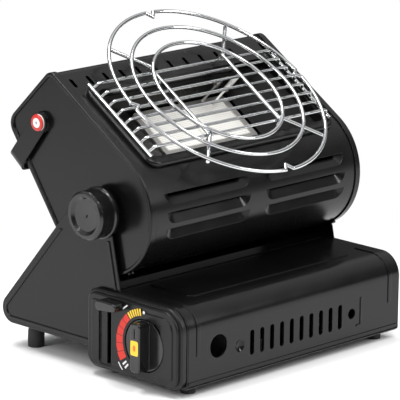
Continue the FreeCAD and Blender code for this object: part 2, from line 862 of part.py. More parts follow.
def lever_parts():
    """Cartridge lever: finger knob outside the panel and the arm that runs in through its slot."""
    z = floor_z + lever_top
    front = lever_slot_y - lever_half
    back = lever_slot_y + lever_half
    seat_x = panel_front - lever_seat
    crank_x = -half_length + sheet + crank_reach
    arm = box(seat_x, crank_x, front, back, z - lever_arm_half, z + lever_arm_half)
    crank = box(crank_x - crank_width, crank_x, front, back, z - crank_drop, z - lever_arm_half)
    arm = arm.fuse(crank).removeSplitter()
    knob_x = panel_front - lever_knob_rise
    knob = slab_x(lever_knob_outline(z), knob_x, panel_front - lever_knob_gap)
    knob = knob.makeFillet(lever_knob_round, edges_at(knob, knob_x))
    knob = knob.cut(box(seat_x, panel_front, front, back, z - lever_arm_half, z + lever_arm_half))
    return arm, knob


def lever_knob_outline(z):
    """Corner list of the lever's finger knob, thicker where it sits on the arm."""
    front = lever_slot_y - lever_knob_front
    back = lever_slot_y + lever_knob_back
    corners = [(front, z - lever_knob_thin), (back, z - lever_knob_thick), (back, z + lever_knob_up),
               (front, z + lever_knob_up)]
    return [(*corner, radius) for corner, radius in zip(corners, lever_knob_corners)]


def cartridge_yoke():
    """Sliding yoke that pushes the cartridge's shoulder against the nozzle."""
    low = floor_z + sheet + seat_gap
    high = cartridge_z + yoke_up
    x1 = yoke_place + yoke_sheet
    outline = rectangle(cartridge_y - yoke_half, cartridge_y + yoke_half, low, high, yoke_round)
    plate = slab_x(outline, yoke_place, x1)
    plate = plate.cut(bar_x(yoke_bore, yoke_place - over, x1 + over, cartridge_y, high))
    foot = box(yoke_place, yoke_place + yoke_foot, cartridge_y - yoke_foot_half, cartridge_y + yoke_foot_half,
               low, low + yoke_sheet)
    return plate.fuse(foot).removeSplitter()


def cradle():
    """Two curved saddles that the cartridge lies in."""
    saddles = []
    for x in saddle_places:
        block = box(x, x + saddle_width, cartridge_y - saddle_half, cartridge_y + saddle_half, floor_z + sheet,
                    cartridge_z - saddle_low)
        ends = (x - over, x + saddle_width + over)
        bowl = bar_x(cartridge_radius + cartridge_gap, *ends, cartridge_y, cartridge_z)
        saddles.append(block.cut(bowl))
    return group(saddles)


def piezo_igniter():
    """Spark generator worked by the dial, fixed to the end wall."""
    y = dial_y - piezo_back
    z = dial_z - piezo_down
    start = -half_length + sheet
    end = start + piezo_length
    body = bar_x(piezo_radius, start, end, y, z)
    tip = bar_x(piezo_tip_radius, end, end + piezo_tip_length, y, z)
    return body.fuse(tip).removeSplitter()


def pipe_ray(distance):
    """Point on the pipe's line, at a distance from the pivot axis."""
    angle = math.radians(pipe_angle)
    return Vector(pipe_place, pivot_y + distance * math.cos(angle), pivot_z + distance * math.sin(angle))


def gas_pipe():
    """Pipe from the valve, out of the back wall and up to the swivel on the pivot axis."""
    start = Vector(pipe_place, cartridge_y + pipe_seat, pipe_z)
    drop = pivot_z - start.z
    corner = Vector(pipe_place, pivot_y + drop / math.tan(-math.radians(pipe_angle)), start.z)
    return wire_run([start, corner, pipe_ray(swivel_radius - swivel_sink)], 2 * pipe_radius, pipe_bend)


def swivel_ring():
    """Fixed half of the gas swivel: a ring about the pivot axis that takes the pipe."""
    x0 = pipe_place - swivel_width / 2
    ring = tube(swivel_radius, swivel_bore, Vector(x0, pivot_y, pivot_z),
                Vector(x0 + swivel_width, pivot_y, pivot_z))
    return ring.cut(rod(pipe_radius, pipe_ray(swivel_radius - swivel_sink), pipe_ray(2 * swivel_radius)))


def pipe_grommet():
    """Rubber grommet where the pipe leaves the back wall."""
    bore = pipe_radius + grommet_gap
    face = Vector(pipe_place, back_y, pipe_z)
    body = tube(pipe_radius + grommet_wall, bore, Vector(pipe_place, back_y - sheet, pipe_z), face)
    lip = tube(pipe_radius + grommet_lip, bore, face, Vector(pipe_place, back_y + grommet_rise, pipe_z))
    return body.fuse(lip).removeSplitter()


def stand_outline():
    """Corner list of the side plates, whose back edge is tangent to the round rear corner."""
    top_y = pivot_y + stand_top
    centre_y = front_y + stand_reach - stand_corner
    centre_z = stand_z + stand_corner
    steepness = math.atan2(pivot_z - centre_z, centre_y - top_y)
    slope = steepness - math.asin(stand_corner / math.hypot(pivot_z - centre_z, centre_y - top_y))
    rear = centre_y + stand_corner / math.tan(slope / 2)
    return [(pivot_y - stand_front, stand_z, stand_front_round), (rear, stand_z, stand_corner),
            (top_y, pivot_z, stand_top_round), (pivot_y + shoulder_back, pivot_z + shoulder_up, shoulder_round),
            (pivot_y - cheek_front, pivot_z, 0), (pivot_y - waist_front, pivot_z - shoulder_up, 0),
            (pivot_y - neck_front, top_z - neck_drop, 0)]


def plate_band(outer_inset, inner_inset, x0, x1):
    """Band between x0 and x1 that follows the side plates' outline between two insets."""
    face = side_face(stand_outline(), x0)
    outer = face.makeOffset2D(-outer_inset) if outer_inset else face
    run = Vector(x1 - x0, 0, 0)
    return outer.extrude(run).cut(face.makeOffset2D(-inner_inset).extrude(run))


def stand_plate():
    """Right side plate: sloping edges, raised pivot boss, folded lower edges and a pressed bead."""
    pressed = plate_outer + press_rise
    skin = plate_outer - sheet / 2
    head = bar_x(stand_head, plate_inner, plate_outer, pivot_y, pivot_z)
    plate = slab_x(stand_outline(), plate_inner, plate_outer).fuse(head).removeSplitter()
    plate = plate.makeFillet(edge_round, edges_at(plate, plate_outer))
    fold = plate_band(0, sheet, plate_inner - flange_width, plate_inner + edge_round / 4)
    fold = fold.common(box(0, plate_outer, back_y + fold_start, front_y + stand_reach + over, stand_z - over,
                           fold_top))
    bead = plate_band(plate_bead_inset, plate_bead_inset + plate_bead_width, skin, pressed)
    bead = bead.common(box(0, pressed, front_y, front_y + stand_reach, stand_z, pivot_z - plate_bead_top))
    crest = [edge for edge in edges_at(bead, pressed) if edge.Length > short_edge]
    bead = bead.makeFillet(bead_round, crest)
    boss = bar_x(boss_radius, skin, pressed, pivot_y, pivot_z)
    hole = bar_x(stud_radius + running_gap, plate_inner - over, pressed + over, pivot_y, pivot_z)
    return plate.fuse([fold, bead, boss]).cut(hole).removeSplitter()


def left_plate_clearance():
    """Cutter for the left plate: the control panel's seat and the lever's slot."""
    seat = slab_x(case_outline(-panel_clear, case_corner), -plate_outer - press_rise - over, -plate_outer)
    return seat.fuse(lever_slot(-plate_outer - over, -plate_inner + over))


def rear_base():
    """Floor and sloping back sheet between the side plates, seated inside their folded edges."""
    inner = plate_inner - seat_gap
    low = stand_z + sheet + fold_gap
    front = back_y + seat_gap
    sheet_body = plate_band(sheet + fold_gap, 2 * sheet + fold_gap, -inner, inner)
    sheet_body = sheet_body.common(box(-inner, inner, front, front_y + stand_reach, stand_z, fold_top))
    front_lip = box(-inner, inner, front, front + sheet, low, low + rear_lip)
    return sheet_body.fuse(front_lip).removeSplitter()


def feet(places, radius, height, neck):
    """Round feet with a waist, resting on the floor."""
    straight = height * foot_straight
    bodies = []
    for x, y in places:
        wide = Part.makeCylinder(radius, straight, Vector(x, y, 0))
        upper = Part.makeCone(radius, neck, height - straight, Vector(x, y, straight))
        bodies.append(wide.fuse(upper).removeSplitter())
    return group(bodies)


def drum_shell():
    """Wrapped head sheet: burner window, vent slots, pressed louvres and the gas pipe's slot."""
    shell = end_ring(sheet, 2 * sheet, -shell_half, shell_half)
    shell = shell.cut(back_region(shell_half + over))
    window = rectangle(-window_half_x, window_half_x, window_low, window_high, window_round)
    cuts = [slab_z(window, burner_top - flat_cut, burner_top + flat_cut)]
    for index in range(vent_count):
        cuts.append(vent_cutter((index - (vent_count - 1) / 2) * vent_pitch))
    leaves = []
    for side in (-1, 1):
        x_middle = side * (louver_gap + louver_length) / 2
        for angle in louver_angles:
            cuts.append(louver_space(x_middle, angle))
            leaves.append(louver_leaf(x_middle, angle))
    cuts.append(pipe_slot())
    cuts.extend(screw_holes())
    return shell.cut(cuts).fuse(leaves).removeSplitter()


def back_region(reach):
    """Space that the back panel's sheet fills."""
    back = drum_back_length + over
    low = -drum_radius - over
    upper = box(-reach, reach, back_sheet_start, back, low, back_sheet_top)
    return upper.fuse(box(-reach, reach, under_sheet_start, back, low, 0))


def vent_cutter(x):
    """Round-ended vent slot that runs down the slope."""
    low = vent_centre - vent_length / 2 + vent_width / 2
    high = vent_centre + vent_length / 2 - vent_width / 2
    z0 = burner_top - flat_cut
    block = box(x - vent_width / 2, x + vent_width / 2, low, high, z0, burner_top + flat_cut)
    ends = [Part.makeCylinder(vent_width / 2, 2 * flat_cut, Vector(x, s, z0)) for s in (low, high)]
    return block.fuse(ends)


def turned(shape, angle):
    """Turn a piece drawn at the top of the drum round to an angle on its round front."""
    copy = shape.copy()
    copy.rotate(Vector(0, 0, 0), X_AXIS, angle - 90)
    return copy


def louver_form(x_middle, angle, profile):
    """Pressed louvre form: a profile run along X, with each end turned about the foot of the slit."""
    half = louver_length / 2 - louver_height
    foot = louver_height / 2
    face = face_of([(u, v, 0) for u, v in profile], lambda u, v: Vector(x_middle - half, u, v))
    pieces = [face.extrude(Vector(2 * half, 0, 0))]
    pieces.append(face.revolve(Vector(x_middle - half, foot, 0), Z_AXIS, -90))
    far = face.copy()
    far.translate(Vector(2 * half, 0, 0))
    pieces.append(far.revolve(Vector(x_middle + half, foot, 0), Z_AXIS, 90))
    return turned(fused(pieces), angle)


def louver_space(x_middle, angle):
    """Cutter for the space over a louvre's leaf."""
    edge, foot, top = louver_edges()
    low = top - louver_depth
    return louver_form(x_middle, angle, [(edge, top + over), (foot, top + over), (foot, low - over),
                                         (foot - louver_slit, low), (edge, top)])


def louver_leaf(x_middle, angle):
    """Leaf pressed inwards from its upper edge down to the slit."""
    edge, foot, top = louver_edges()
    low = top - louver_depth
    return louver_form(x_middle, angle, [(edge, top), (foot - louver_slit, low),
                                         (foot - louver_slit, low - sheet), (edge, top - sheet)])


def louver_edges():
    """Upper edge, slit edge and surface height of a louvre drawn at the top of the head."""
    dip = burner_top - math.sqrt(burner_top ** 2 - (louver_height / 2) ** 2)
    return -louver_height / 2, louver_height / 2, burner_top - dip


def pipe_slot():
    """Cutter for the slot that lets the head tilt past the fixed gas pipe."""
    half = pipe_radius + slot_clear
    start = math.radians(pipe_angle - rest_tilt - tilt_forward - slot_margin)
    end = math.radians(pipe_angle - rest_tilt + tilt_back + slot_margin)
    middle = (start + end) / 2
    rays = [(slot_reach, start), (1.5 * slot_reach, middle), (slot_reach, end)]
    points = [(0, 0, 0)] + [(reach * math.cos(angle), reach * math.sin(angle), 0) for reach, angle in rays]
    wedge = slab_x(points, pipe_place - half, pipe_place + half)
    return wedge.cut(bar_x(slot_root, pipe_place - half - over, pipe_place + half + over, 0, 0))


def back_panel():
    """Back and underside sheet of the head, with two rows of vent slots."""
    shell = end_ring(sheet, 2 * sheet, -shell_half, shell_half).common(back_region(shell_half + over))
    cuts = []
    for row in back_vent_rows:
        for index in range(back_vent_count):
            x = (index - (back_vent_count - 1) / 2) * back_vent_pitch
            cuts.append(box(x - back_vent_length / 2, x + back_vent_length / 2, drum_top_length,
                            drum_back_length + over, row - back_vent_width / 2, row + back_vent_width / 2))
    return shell.cut(cuts).removeSplitter()


def end_cap():
    """Right end cap of the head: recessed face inside a rolled rim, with stud and rivet holes."""
    outer = drum_half_width
    rim = end_ring(0, sheet, outer - cap_rim_width, outer - cap_recess)
    roll = end_ring(0, cap_roll_width, outer - cap_recess - sheet / 2, outer)
    roll = roll.makeFillet(cap_roll_round, edges_at(roll, outer))
    face = drum_block(sheet / 2, outer - cap_recess - sheet, outer - cap_recess)
    cap = rim.fuse([roll, face])
    inside = outer - cap_rim_width
    holes = [bar_x(stud_radius, inside, outer + over, 0, 0),
             bar_x(rivet_radius, inside, outer + over, handle_back, handle_up)]
    return cap.cut(holes + screw_holes()).removeSplitter()


def window_slab(margin, radius, z0, z1):
    """Rounded slab that follows the burner window, a margin wider on every side."""
    outline = rectangle(-window_half_x - margin, window_half_x + margin, window_low - margin,
                        window_high + margin, radius)
    return slab_z(outline, z0, z1)


def burner_frame():
    """Raised frame round the burner window, with a lip that hangs into it."""
    base = burner_top
    top = base + frame_rise
    ring = window_slab(frame_border, frame_round, base, top)
    ring = ring.makeFillet(frame_edge, [edge for edge in ring.Edges if abs(edge.CenterOfMass.z - top) < near])
    lip = window_slab(-frame_lip_gap, frame_lip_round, base - frame_lip_depth, base + frame_lip_root)
    hollow = window_slab(frame_border - frame_wall, frame_inner_round, base - over, top - sheet)
    hollow = hollow.cut(window_slab(0, window_round, base - 2 * over, top))
    opening = window_slab(-frame_lap, frame_inner_round, base - frame_lip_depth - over, top + over)
    return ring.fuse(lip).cut(opening).cut(hollow).removeSplitter()


def hopper(top_half, low_half, high, low):
    """Tapered four-sided block from the window's middle down to the ceramic plates' middle."""
    wires = []
    for (half_x, half_s), middle, z in ((top_half, window_centre, high), (low_half, ceramic_centre, low)):
        signs = ((-1, -1), (1, -1), (1, 1), (-1, 1))
        corners = [Vector(x * half_x, middle + s * half_s, z) for x, s in signs]
        wires.append(Part.makePolygon(corners + corners[:1]))
    return Part.makeLoft(wires, True, True)


def reflector():
    """Tapered reflector from the frame down to the ceramic plates."""
    high = burner_top - frame_lip_depth
    low = ceramic_top + retainer_thick
    half_x = window_half_x - frame_lap
    half_s = window_width / 2 - frame_lap
    low_x = ceramic_width + ceramic_gap + reflector_lap_x
    low_s = ceramic_length / 2 + reflector_lap_s
    wall = reflector_wall
    outer = hopper((half_x, half_s), (low_x, low_s), high, low)
    inner = hopper((half_x - wall, half_s - wall), (low_x - wall, low_s - wall), high + near, low - near)
    rim = window_slab(wall - frame_lap, reflector_round, high - sheet, high)
    body = outer.fuse(rim).cut(inner)
    holes = [rod(probe_radius, *probe_line(place)) for place in probe_places]
    return body.cut(holes).removeSplitter()


def plenum_slab(inset, radius, z0, z1):
    """Rounded slab that follows the burner body, set in by a distance on every side."""
    outline = rectangle(-plenum_half_x + inset, plenum_half_x - inset, ceramic_centre - plenum_half_s + inset,
                        ceramic_centre + plenum_half_s - inset, radius)
    return slab_z(outline, z0, z1)


def plenum():
    """Burner body: mixing chamber with a rim that holds the ceramic plates."""
    half_x = plenum_half_x - plenum_wall
    half_s = plenum_half_s - plenum_wall
    outer = plenum_slab(0, plenum_round, plenum_low, ceramic_top)
    seat = box(-half_x, half_x, ceramic_centre - half_s, ceramic_centre + half_s, ceramic_top - ceramic_thick,
               ceramic_top + over)
    room = plenum_slab(plenum_ledge, plenum_ledge, plenum_low + plenum_wall, ceramic_top)
    inlet_end = -plenum_half_x + mixer_seat + over
    inlet = bar_x(mixer_radius, -plenum_half_x - over, inlet_end, ceramic_centre, plenum_inlet_z)
    return outer.cut([seat, room, inlet]).removeSplitter()


def ceramic_plates():
    """Two ceramic radiant plates side by side."""
    plates = []
    for side in (-1, 1):
        x0 = ceramic_gap / 2 if side > 0 else -ceramic_gap / 2 - ceramic_width
        plates.append(box(x0, x0 + ceramic_width, ceramic_centre - ceramic_length / 2,
                          ceramic_centre + ceramic_length / 2, ceramic_top - ceramic_thick, ceramic_top))
    return group(plates)


def ceramic_frame():
    """Thin retaining frame over the edges of the ceramic plates."""
    half_x = plenum_half_x - retainer_width
    half_s = plenum_half_s - retainer_width
    plate = plenum_slab(0, plenum_round, ceramic_top, ceramic_top + retainer_thick)
    return plate.cut(box(-half_x, half_x, ceramic_centre - half_s, ceramic_centre + half_s, ceramic_top - over,
                         ceramic_top + retainer_thick + over))


def mixer_tube():
    """Mixing tube from the jet on the pivot axis to the burner body."""
    points = [Vector(jet_x, 0, 0), Vector(jet_x + mixer_run, 0, 0),
              Vector(-plenum_half_x - mixer_lead, ceramic_centre, plenum_inlet_z),
              Vector(-plenum_half_x + mixer_seat, ceramic_centre, plenum_inlet_z)]
    return wire_run(points, 2 * mixer_radius, mixer_bend)


def swivel_bolt():
    """Moving half of the gas swivel with the jet, carried by the mixing tube."""
    left = pipe_place - swivel_width / 2 - seat_gap
    right = pipe_place + swivel_width / 2 + seat_gap
    head = bar_x(bolt_radius, left - bolt_head, left, 0, 0)
    shaft = bar_x(swivel_bore - running_gap, left, jet_x, 0, 0)
    collar = bar_x(bolt_radius, right, jet_x, 0, 0)
    return head.fuse([shaft, collar]).removeSplitter()


def probe_line(place):
    """Tip and root of one probe."""
    x, s = place
    turn = math.radians(probe_turn)
    start = Vector(x, s, ceramic_top + probe_rise)
    end = start + Vector(math.cos(turn), math.sin(turn), probe_lean) * probe_length
    return start, end


def probe(place):
    """One straight probe over the ceramic plates, with its insulator."""
    start, end = probe_line(place)
    middle = start + (end - start) * probe_bare_share
    return rod(probe_wire_radius, start, middle).fuse(rod(probe_radius, middle, end)).removeSplitter()


def wire_grille():
    """Guard of parallel wires whose ends bend down to a side rail."""
    low = burner_top + frame_rise + rail_wire / 2
    high = burner_top + grille_height
    bars = []
    for index in range(grille_count):
        s = grille_centre + (index - (grille_count - 1) / 2) * grille_pitch
        points = [Vector(-rail_place, s, low), Vector(-grille_half, s, high), Vector(grille_half, s, high),
                  Vector(rail_place, s, low)]
        bars.append(wire_run(points, grille_wire, grille_bend))
    reach = grille_pitch * (grille_count - 1) / 2 + rail_overhang
    for side in (-1, 1):
        bars.append(rod(rail_wire / 2, Vector(side * rail_place, grille_centre - reach, low),
                        Vector(side * rail_place, grille_centre + reach, low)))
    return fused(bars)


def support_ring_height():
    """Height of the ring plane over the pivot, head lying flat."""
    return burner_top + grille_height + ring_height


def support_ring(radius):
    """Round ring of the pot support."""
    return Part.makeTorus(radius, ring_wire / 2, Vector(0, grille_centre, support_ring_height()))


def pot_support():
    """Two wire carriers of the pot support: each a staple that hooks over the grille, with two spokes."""
    wire_top = burner_top + grille_height
    hook_z = wire_top - support_hook_drop
    run_z = wire_top + grille_wire / 2 + ring_wire / 2 + seat_gap
    spoke_z = support_ring_height() - ring_wire - weld_gap
    outer = ring_radii[2] * math.sqrt(0.5)
    inner = spoke_half - spoke_inset
    hook = grille_pitch * (grille_count - 1) / 2 + grille_wire / 2 + ring_wire / 2 + seat_gap
    carriers = []
    for side in (-1, 1):
        x = side * spoke_half
        points = [Vector(x, grille_centre + hook, hook_z), Vector(x, grille_centre + hook, run_z),
                  Vector(x, grille_centre - hook, run_z), Vector(x, grille_centre - hook, hook_z)]
        wires = [wire_run(points, ring_wire, support_hook_bend)]
        for end in (-1, 1):
            wires.append(rod(ring_wire / 2, Vector(side * outer, grille_centre + end * outer, spoke_z),
                             Vector(side * (spoke_half - spoke_lap), grille_centre + end * inner, spoke_z)))
        carriers.append(fused(wires))
    return group(carriers)


def notched_ring():
    """Outer ring with a V-shaped notch bent inwards on each quarter."""
    radius = ring_radii[2]
    half_angle = math.degrees(notch_half / radius)
    centre = Vector(0, grille_centre, support_ring_height())
    pieces = []
    for quarter in range(4):
        section = Part.Face(Part.Wire(Part.makeCircle(ring_wire / 2, Vector(radius, 0, 0), Y_AXIS)))
        arc = section.revolve(Vector(0, 0, 0), Z_AXIS, 90 - 2 * half_angle)
        arc.rotate(Vector(0, 0, 0), Z_AXIS, 90 * quarter + half_angle)
        arc.translate(centre)
        pieces.append(arc)
        middle = math.radians(90 * quarter)
        bottom = centre + Vector(math.cos(middle), math.sin(middle), 0) * (radius - notch_depth)
        for end in (-1, 1):
            angle = middle + end * math.radians(half_angle)
            top = centre + Vector(math.cos(angle), math.sin(angle), 0) * radius
            pieces.append(rod(ring_wire / 2, bottom, top))
            pieces.append(Part.makeSphere(ring_wire / 2, top))
        pieces.append(Part.makeSphere(ring_wire / 2, bottom))
    return fused(pieces)


def handle():
    """Flat strap handle: two arms with round ends and a cross strap, bent from one strip."""
    outer = handle_outer
    inner = outer - handle_sheet
    low = -handle_length
    half = handle_width / 2
    inner_bend = handle_bend - handle_sheet
    loop = face_of([(-outer, low, handle_bend), (outer, low, handle_bend), (outer, half, 0), (inner, half, 0),
                    (inner, low + handle_sheet, inner_bend), (-inner, low + handle_sheet, inner_bend),
                    (-inner, half, 0), (-outer, half, 0)], lambda u, v: Vector(u, -half, v))
    strap = loop.extrude(Vector(0, handle_width, 0))
    left = Vector(-outer - over, 0, 0)
    right = Vector(outer + over, 0, 0)
    round_end = box(left.x, right.x, -half, half, low - over, 0).fuse(rod(half, left, right))
    strap = strap.common(round_end).cut(rod(rivet_radius + running_gap, left, right))
    strap.rotate(Vector(0, 0, 0), X_AXIS, handle_hang)
    strap.translate(Vector(0, handle_back, handle_up))
    return strap.removeSplitter()


def handle_rivet():
    """Right handle rivet: shank through the end cap, with a wide domed cap outside."""
    cap_x = handle_outer + seat_gap
    centre = (handle_back, handle_up)
    shank = bar_x(rivet_radius, drum_half_width - rivet_tail, cap_x, *centre)
    inside = bar_x(rivet_disc_radius, shell_half - rivet_disc_depth, shell_half, *centre)
    cap = bar_x(rivet_cap_radius, cap_x, cap_x + rivet_cap_depth, *centre)
    cap = cap.makeFillet(rivet_cap_round, edges_at(cap, cap_x + rivet_cap_depth))
    return shank.fuse([inside, cap]).removeSplitter()


def handle_bush():
    """Right spacer between the end cap and the handle's arm."""
    centre = (handle_back, handle_up)
    return tube(bush_radius, rivet_radius, Vector(drum_half_width - cap_recess, *centre),
                Vector(handle_outer - handle_sheet - seat_gap, *centre))


def pivot_stud():
    """Right pivot stud, fixed in the end cap and passing out through the side plate."""
    shank = bar_x(stud_radius, shell_half, plate_outer + stud_reach, 0, 0)
    corners = [math.radians(60 * k) for k in range(6)]
    nut = slab_x([(nut_radius * math.cos(angle), nut_radius * math.sin(angle), 0) for angle in corners],
                 shell_half - nut_depth, shell_half)
    return shank.fuse(nut).removeSplitter()


def pivot_washer():
    """Right spacer washer between the end cap and the side plate."""
    return tube(washer_radius, stud_radius, Vector(drum_half_width - cap_recess, 0, 0),
                Vector(plate_inner - seat_gap, 0, 0))


def tilt_knob():
    """Right tilt lock knob: turned body with a flange, a rounded front edge and a dished face."""
    x0 = plate_outer + press_rise + seat_gap
    x1 = x0 + tilt_knob_depth
    radius = tilt_knob_radius
    flange_x = x0 + knob_flange_depth
    points = [Vector(x0, 0, 0), Vector(x0, 0, radius + knob_flange), Vector(flange_x, 0, radius + knob_flange),
              Vector(flange_x + knob_cone, 0, radius), Vector(x1 - knob_chamfer, 0, radius),
              Vector(x1, 0, radius - knob_chamfer), Vector(x1, 0, radius - knob_rim),
              Vector(x1 - knob_dish, 0, radius - knob_dish_edge), Vector(x1 - knob_dish_middle, 0, 0)]
    body = Part.Face(Part.makePolygon(points + points[:1])).revolve(Vector(0, 0, 0), X_AXIS, 360)
    bore = bar_x(stud_radius + running_gap, x0 - over, plate_outer + stud_reach + stud_end_gap, 0, 0)
    return body.cut(bore)


def rim_screws():
    """Screws that hold the end caps to the head sheet."""
    screws = []
    for angle in screw_angles:
        for side in (-1, 1):
            seat = Vector(side * screw_place, 0, drum_radius)
            screw = Part.makeCylinder(screw_head_radius, screw_head_rise, seat)
            screw = screw.fuse(screw_shank(side, screw_length))
            screws.append(turned(screw.removeSplitter(), angle))
    return group(screws)


def screw_shank(side, length):
    """Shank of a rim screw, drawn at the top of the head."""
    return Part.makeCylinder(screw_radius, length, Vector(side * screw_place, 0, drum_radius - length))


def screw_holes():
    """Cutters for the rim screws in the head sheet and the cap rims."""
    return [turned(screw_shank(side, screw_hole_depth), angle) for angle in screw_angles for side in (-1, 1)]


os.makedirs("parts", exist_ok=True)


def save(name, shape):
    """Write one node's STEP file."""
    shape.exportStep("parts/" + name + ".step")


lever_arm, lever_knob = lever_parts()
right_plate = stand_plate()
left_plate = mirrored(right_plate).cut(left_plate_clearance())
front_places = [(x, y) for x in (-foot_place, foot_place) for y in case_foot_places]
rear_places = [(x, rear_foot_place) for x in (-foot_place, foot_place)]

nodes = {
    "base_pan": base_pan(),
    "cartridge_lid": cartridge_lid(),
    "lid_hinge_rod": lid_pin(),
    "control_panel": control_panel(),
    "control_knob": control_knob(),
    "valve_spindle": knob_spindle(),
    "gas_valve": gas_valve(),
    "partition_plate": partition_plate(),
    "lever_arm": lever_arm,
    "lever_knob": lever_knob,
    "cartridge_yoke": cartridge_yoke(),
    "cartridge_cradle": cradle(),
    "piezo_igniter": piezo_igniter(),
    "gas_pipe": gas_pipe(),
    "swivel_ring": swivel_ring(),
    "pipe_grommet": pipe_grommet(),
    "side_plate_right": right_plate,
    "side_plate_left": left_plate,
    "rear_base": rear_base(),
    "front_feet": feet(front_places, case_foot_radius, floor_z, case_foot_neck),
    "rear_feet": feet(rear_places, rear_foot_radius, stand_z + sheet, rear_foot_neck),
    "drum_shell": head_place(drum_shell()),
    "back_panel": head_place(back_panel()),
    "end_cap_right": head_place(end_cap()),
    "end_cap_left": head_place(mirrored(end_cap())),
    "burner_frame": head_place(burner_frame()),
    "reflector": head_place(reflector()),
    "burner_body": head_place(plenum()),
    "ceramic_plates": head_place(ceramic_plates()),
    "ceramic_frame": head_place(ceramic_frame()),
    "mixer_tube": head_place(mixer_tube()),
    "swivel_bolt": head_place(swivel_bolt()),
    "igniter_electrode": head_place(probe(probe_places[0])),
    "thermocouple": head_place(probe(probe_places[1])),
    "wire_grille": head_place(wire_grille()),
    "pot_support": head_place(pot_support()),
    "support_ring_inner": head_place(support_ring(ring_radii[0])),
    "support_ring_middle": head_place(support_ring(ring_radii[1])),
    "support_ring_outer": head_place(notched_ring()),
    "carry_handle": head_place(handle()),
    "handle_rivets": head_place(group([handle_rivet(), mirrored(handle_rivet())])),
    "handle_bushes": head_place(group([handle_bush(), mirrored(handle_bush())])),
    "pivot_stud_right": head_place(pivot_stud()),
    "pivot_stud_left": head_place(mirrored(pivot_stud())),
    "pivot_washer_right": head_place(pivot_washer()),
    "pivot_washer_left": head_place(mirrored(pivot_washer())),
    "tilt_knob_right": head_place(tilt_knob()),
    "tilt_knob_left": head_place(mirrored(tilt_knob())),
    "rim_screws": head_place(rim_screws()),
}
for node_name, node_shape in nodes.items():
    save(node_name, node_shape)
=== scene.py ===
"""Tilting tabletop gas heater: finishes, printed marks and rivet faces over the fixed model.

Metres, +Z up, the user's side towards -Y and the control panel towards -X. The marks take their
places from the model's nodes and joints.
"""

import enum
import json
import logging
import math
from dataclasses import dataclass, field
from typing import Any, Iterable, Sequence

import bpy
import numpy as np
from mathutils import Matrix, Vector


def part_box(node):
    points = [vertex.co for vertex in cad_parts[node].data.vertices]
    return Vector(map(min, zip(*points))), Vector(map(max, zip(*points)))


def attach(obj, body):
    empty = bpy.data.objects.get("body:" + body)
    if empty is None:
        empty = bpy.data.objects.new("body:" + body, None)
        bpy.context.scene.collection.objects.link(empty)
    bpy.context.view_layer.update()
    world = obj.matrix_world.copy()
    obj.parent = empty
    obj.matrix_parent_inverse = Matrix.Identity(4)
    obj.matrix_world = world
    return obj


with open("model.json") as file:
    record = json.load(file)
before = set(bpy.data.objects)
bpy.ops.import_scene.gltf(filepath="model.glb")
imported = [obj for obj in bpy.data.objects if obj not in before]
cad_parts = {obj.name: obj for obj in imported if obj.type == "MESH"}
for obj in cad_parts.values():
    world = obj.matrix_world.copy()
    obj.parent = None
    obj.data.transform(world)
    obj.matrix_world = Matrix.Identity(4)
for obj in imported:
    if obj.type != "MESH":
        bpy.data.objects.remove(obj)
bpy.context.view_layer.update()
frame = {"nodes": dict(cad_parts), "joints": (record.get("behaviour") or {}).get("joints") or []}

logging.basicConfig(level=logging.INFO, format="%(message)s")
LOG = logging.getLogger("heater")

RGB = tuple[float, float, float]
Span = tuple[float, float]


class Slot(enum.Enum):
    """Names of two material slots of the record."""

    PANEL_PLASTIC = "panel_plastic"
    WHITE_PLASTIC = "white_plastic"


class Body(enum.Enum):
    """Moving groups of the heater that new pieces ride on."""

    BASE = "base"
    HEAD = "head"
    DIAL = "dial"


def joint(name: str) -> dict[str, Any]:
    """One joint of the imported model, by its name."""
    return next(item for item in frame["joints"] if item["name"] == name)


def head_slope() -> float:
    """Slope of the burner at rest, in radians, from the line that its pot support lifts along."""
    _, back, up = joint("support_lift")["axis"]
    return math.atan2(-back, up)


# Pieces


def grid_faces(rows: int, columns: int, around: bool = False) -> np.ndarray:
    """Quads of a grid of points.

    Args:
        rows: Points along the first parameter.
        columns: Points along the second parameter.
        around: Whether the second parameter closes on itself.

    Returns:
        Four point numbers for each quad.
    """
    last = columns if around else columns - 1
    first, second = np.meshgrid(np.arange(rows - 1), np.arange(last), indexing="ij")
    following = (second + 1) % columns
    quads = np.stack([first * columns + second, first * columns + following,
                      (first + 1) * columns + following, (first + 1) * columns + second], axis=-1)
    return quads.reshape(-1, 4)


def make_piece(name: str, points: np.ndarray, faces: Iterable[Sequence[int]],
               smooth: bool = True) -> bpy.types.Object:
    """New object from points and faces, in place.

    Args:
        name: The piece's name.
        points: Corner points.
        faces: Point numbers of each face.
        smooth: Whether the faces shade smoothly.

    Returns:
        The linked object at the origin.
    """
    mesh = bpy.data.meshes.new(name)
    corners = np.asarray(points, float).reshape(-1, 3).tolist()
    mesh.from_pydata(corners, [], [list(map(int, face)) for face in faces])
    mesh.polygons.foreach_set("use_smooth", np.full(len(mesh.polygons), smooth))
    mesh.update()
    piece = bpy.data.objects.new(name, mesh)
    bpy.context.scene.collection.objects.link(piece)
    return piece


def dress(piece: bpy.types.Object, material: bpy.types.Material, body: Body) -> None:
    """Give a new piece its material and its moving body."""
    piece.data.materials.clear()
    piece.data.materials.append(material)
    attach(piece, body.value)
    LOG.info("%s rides on %s", piece.name, body.value)


# Node groups and finishes


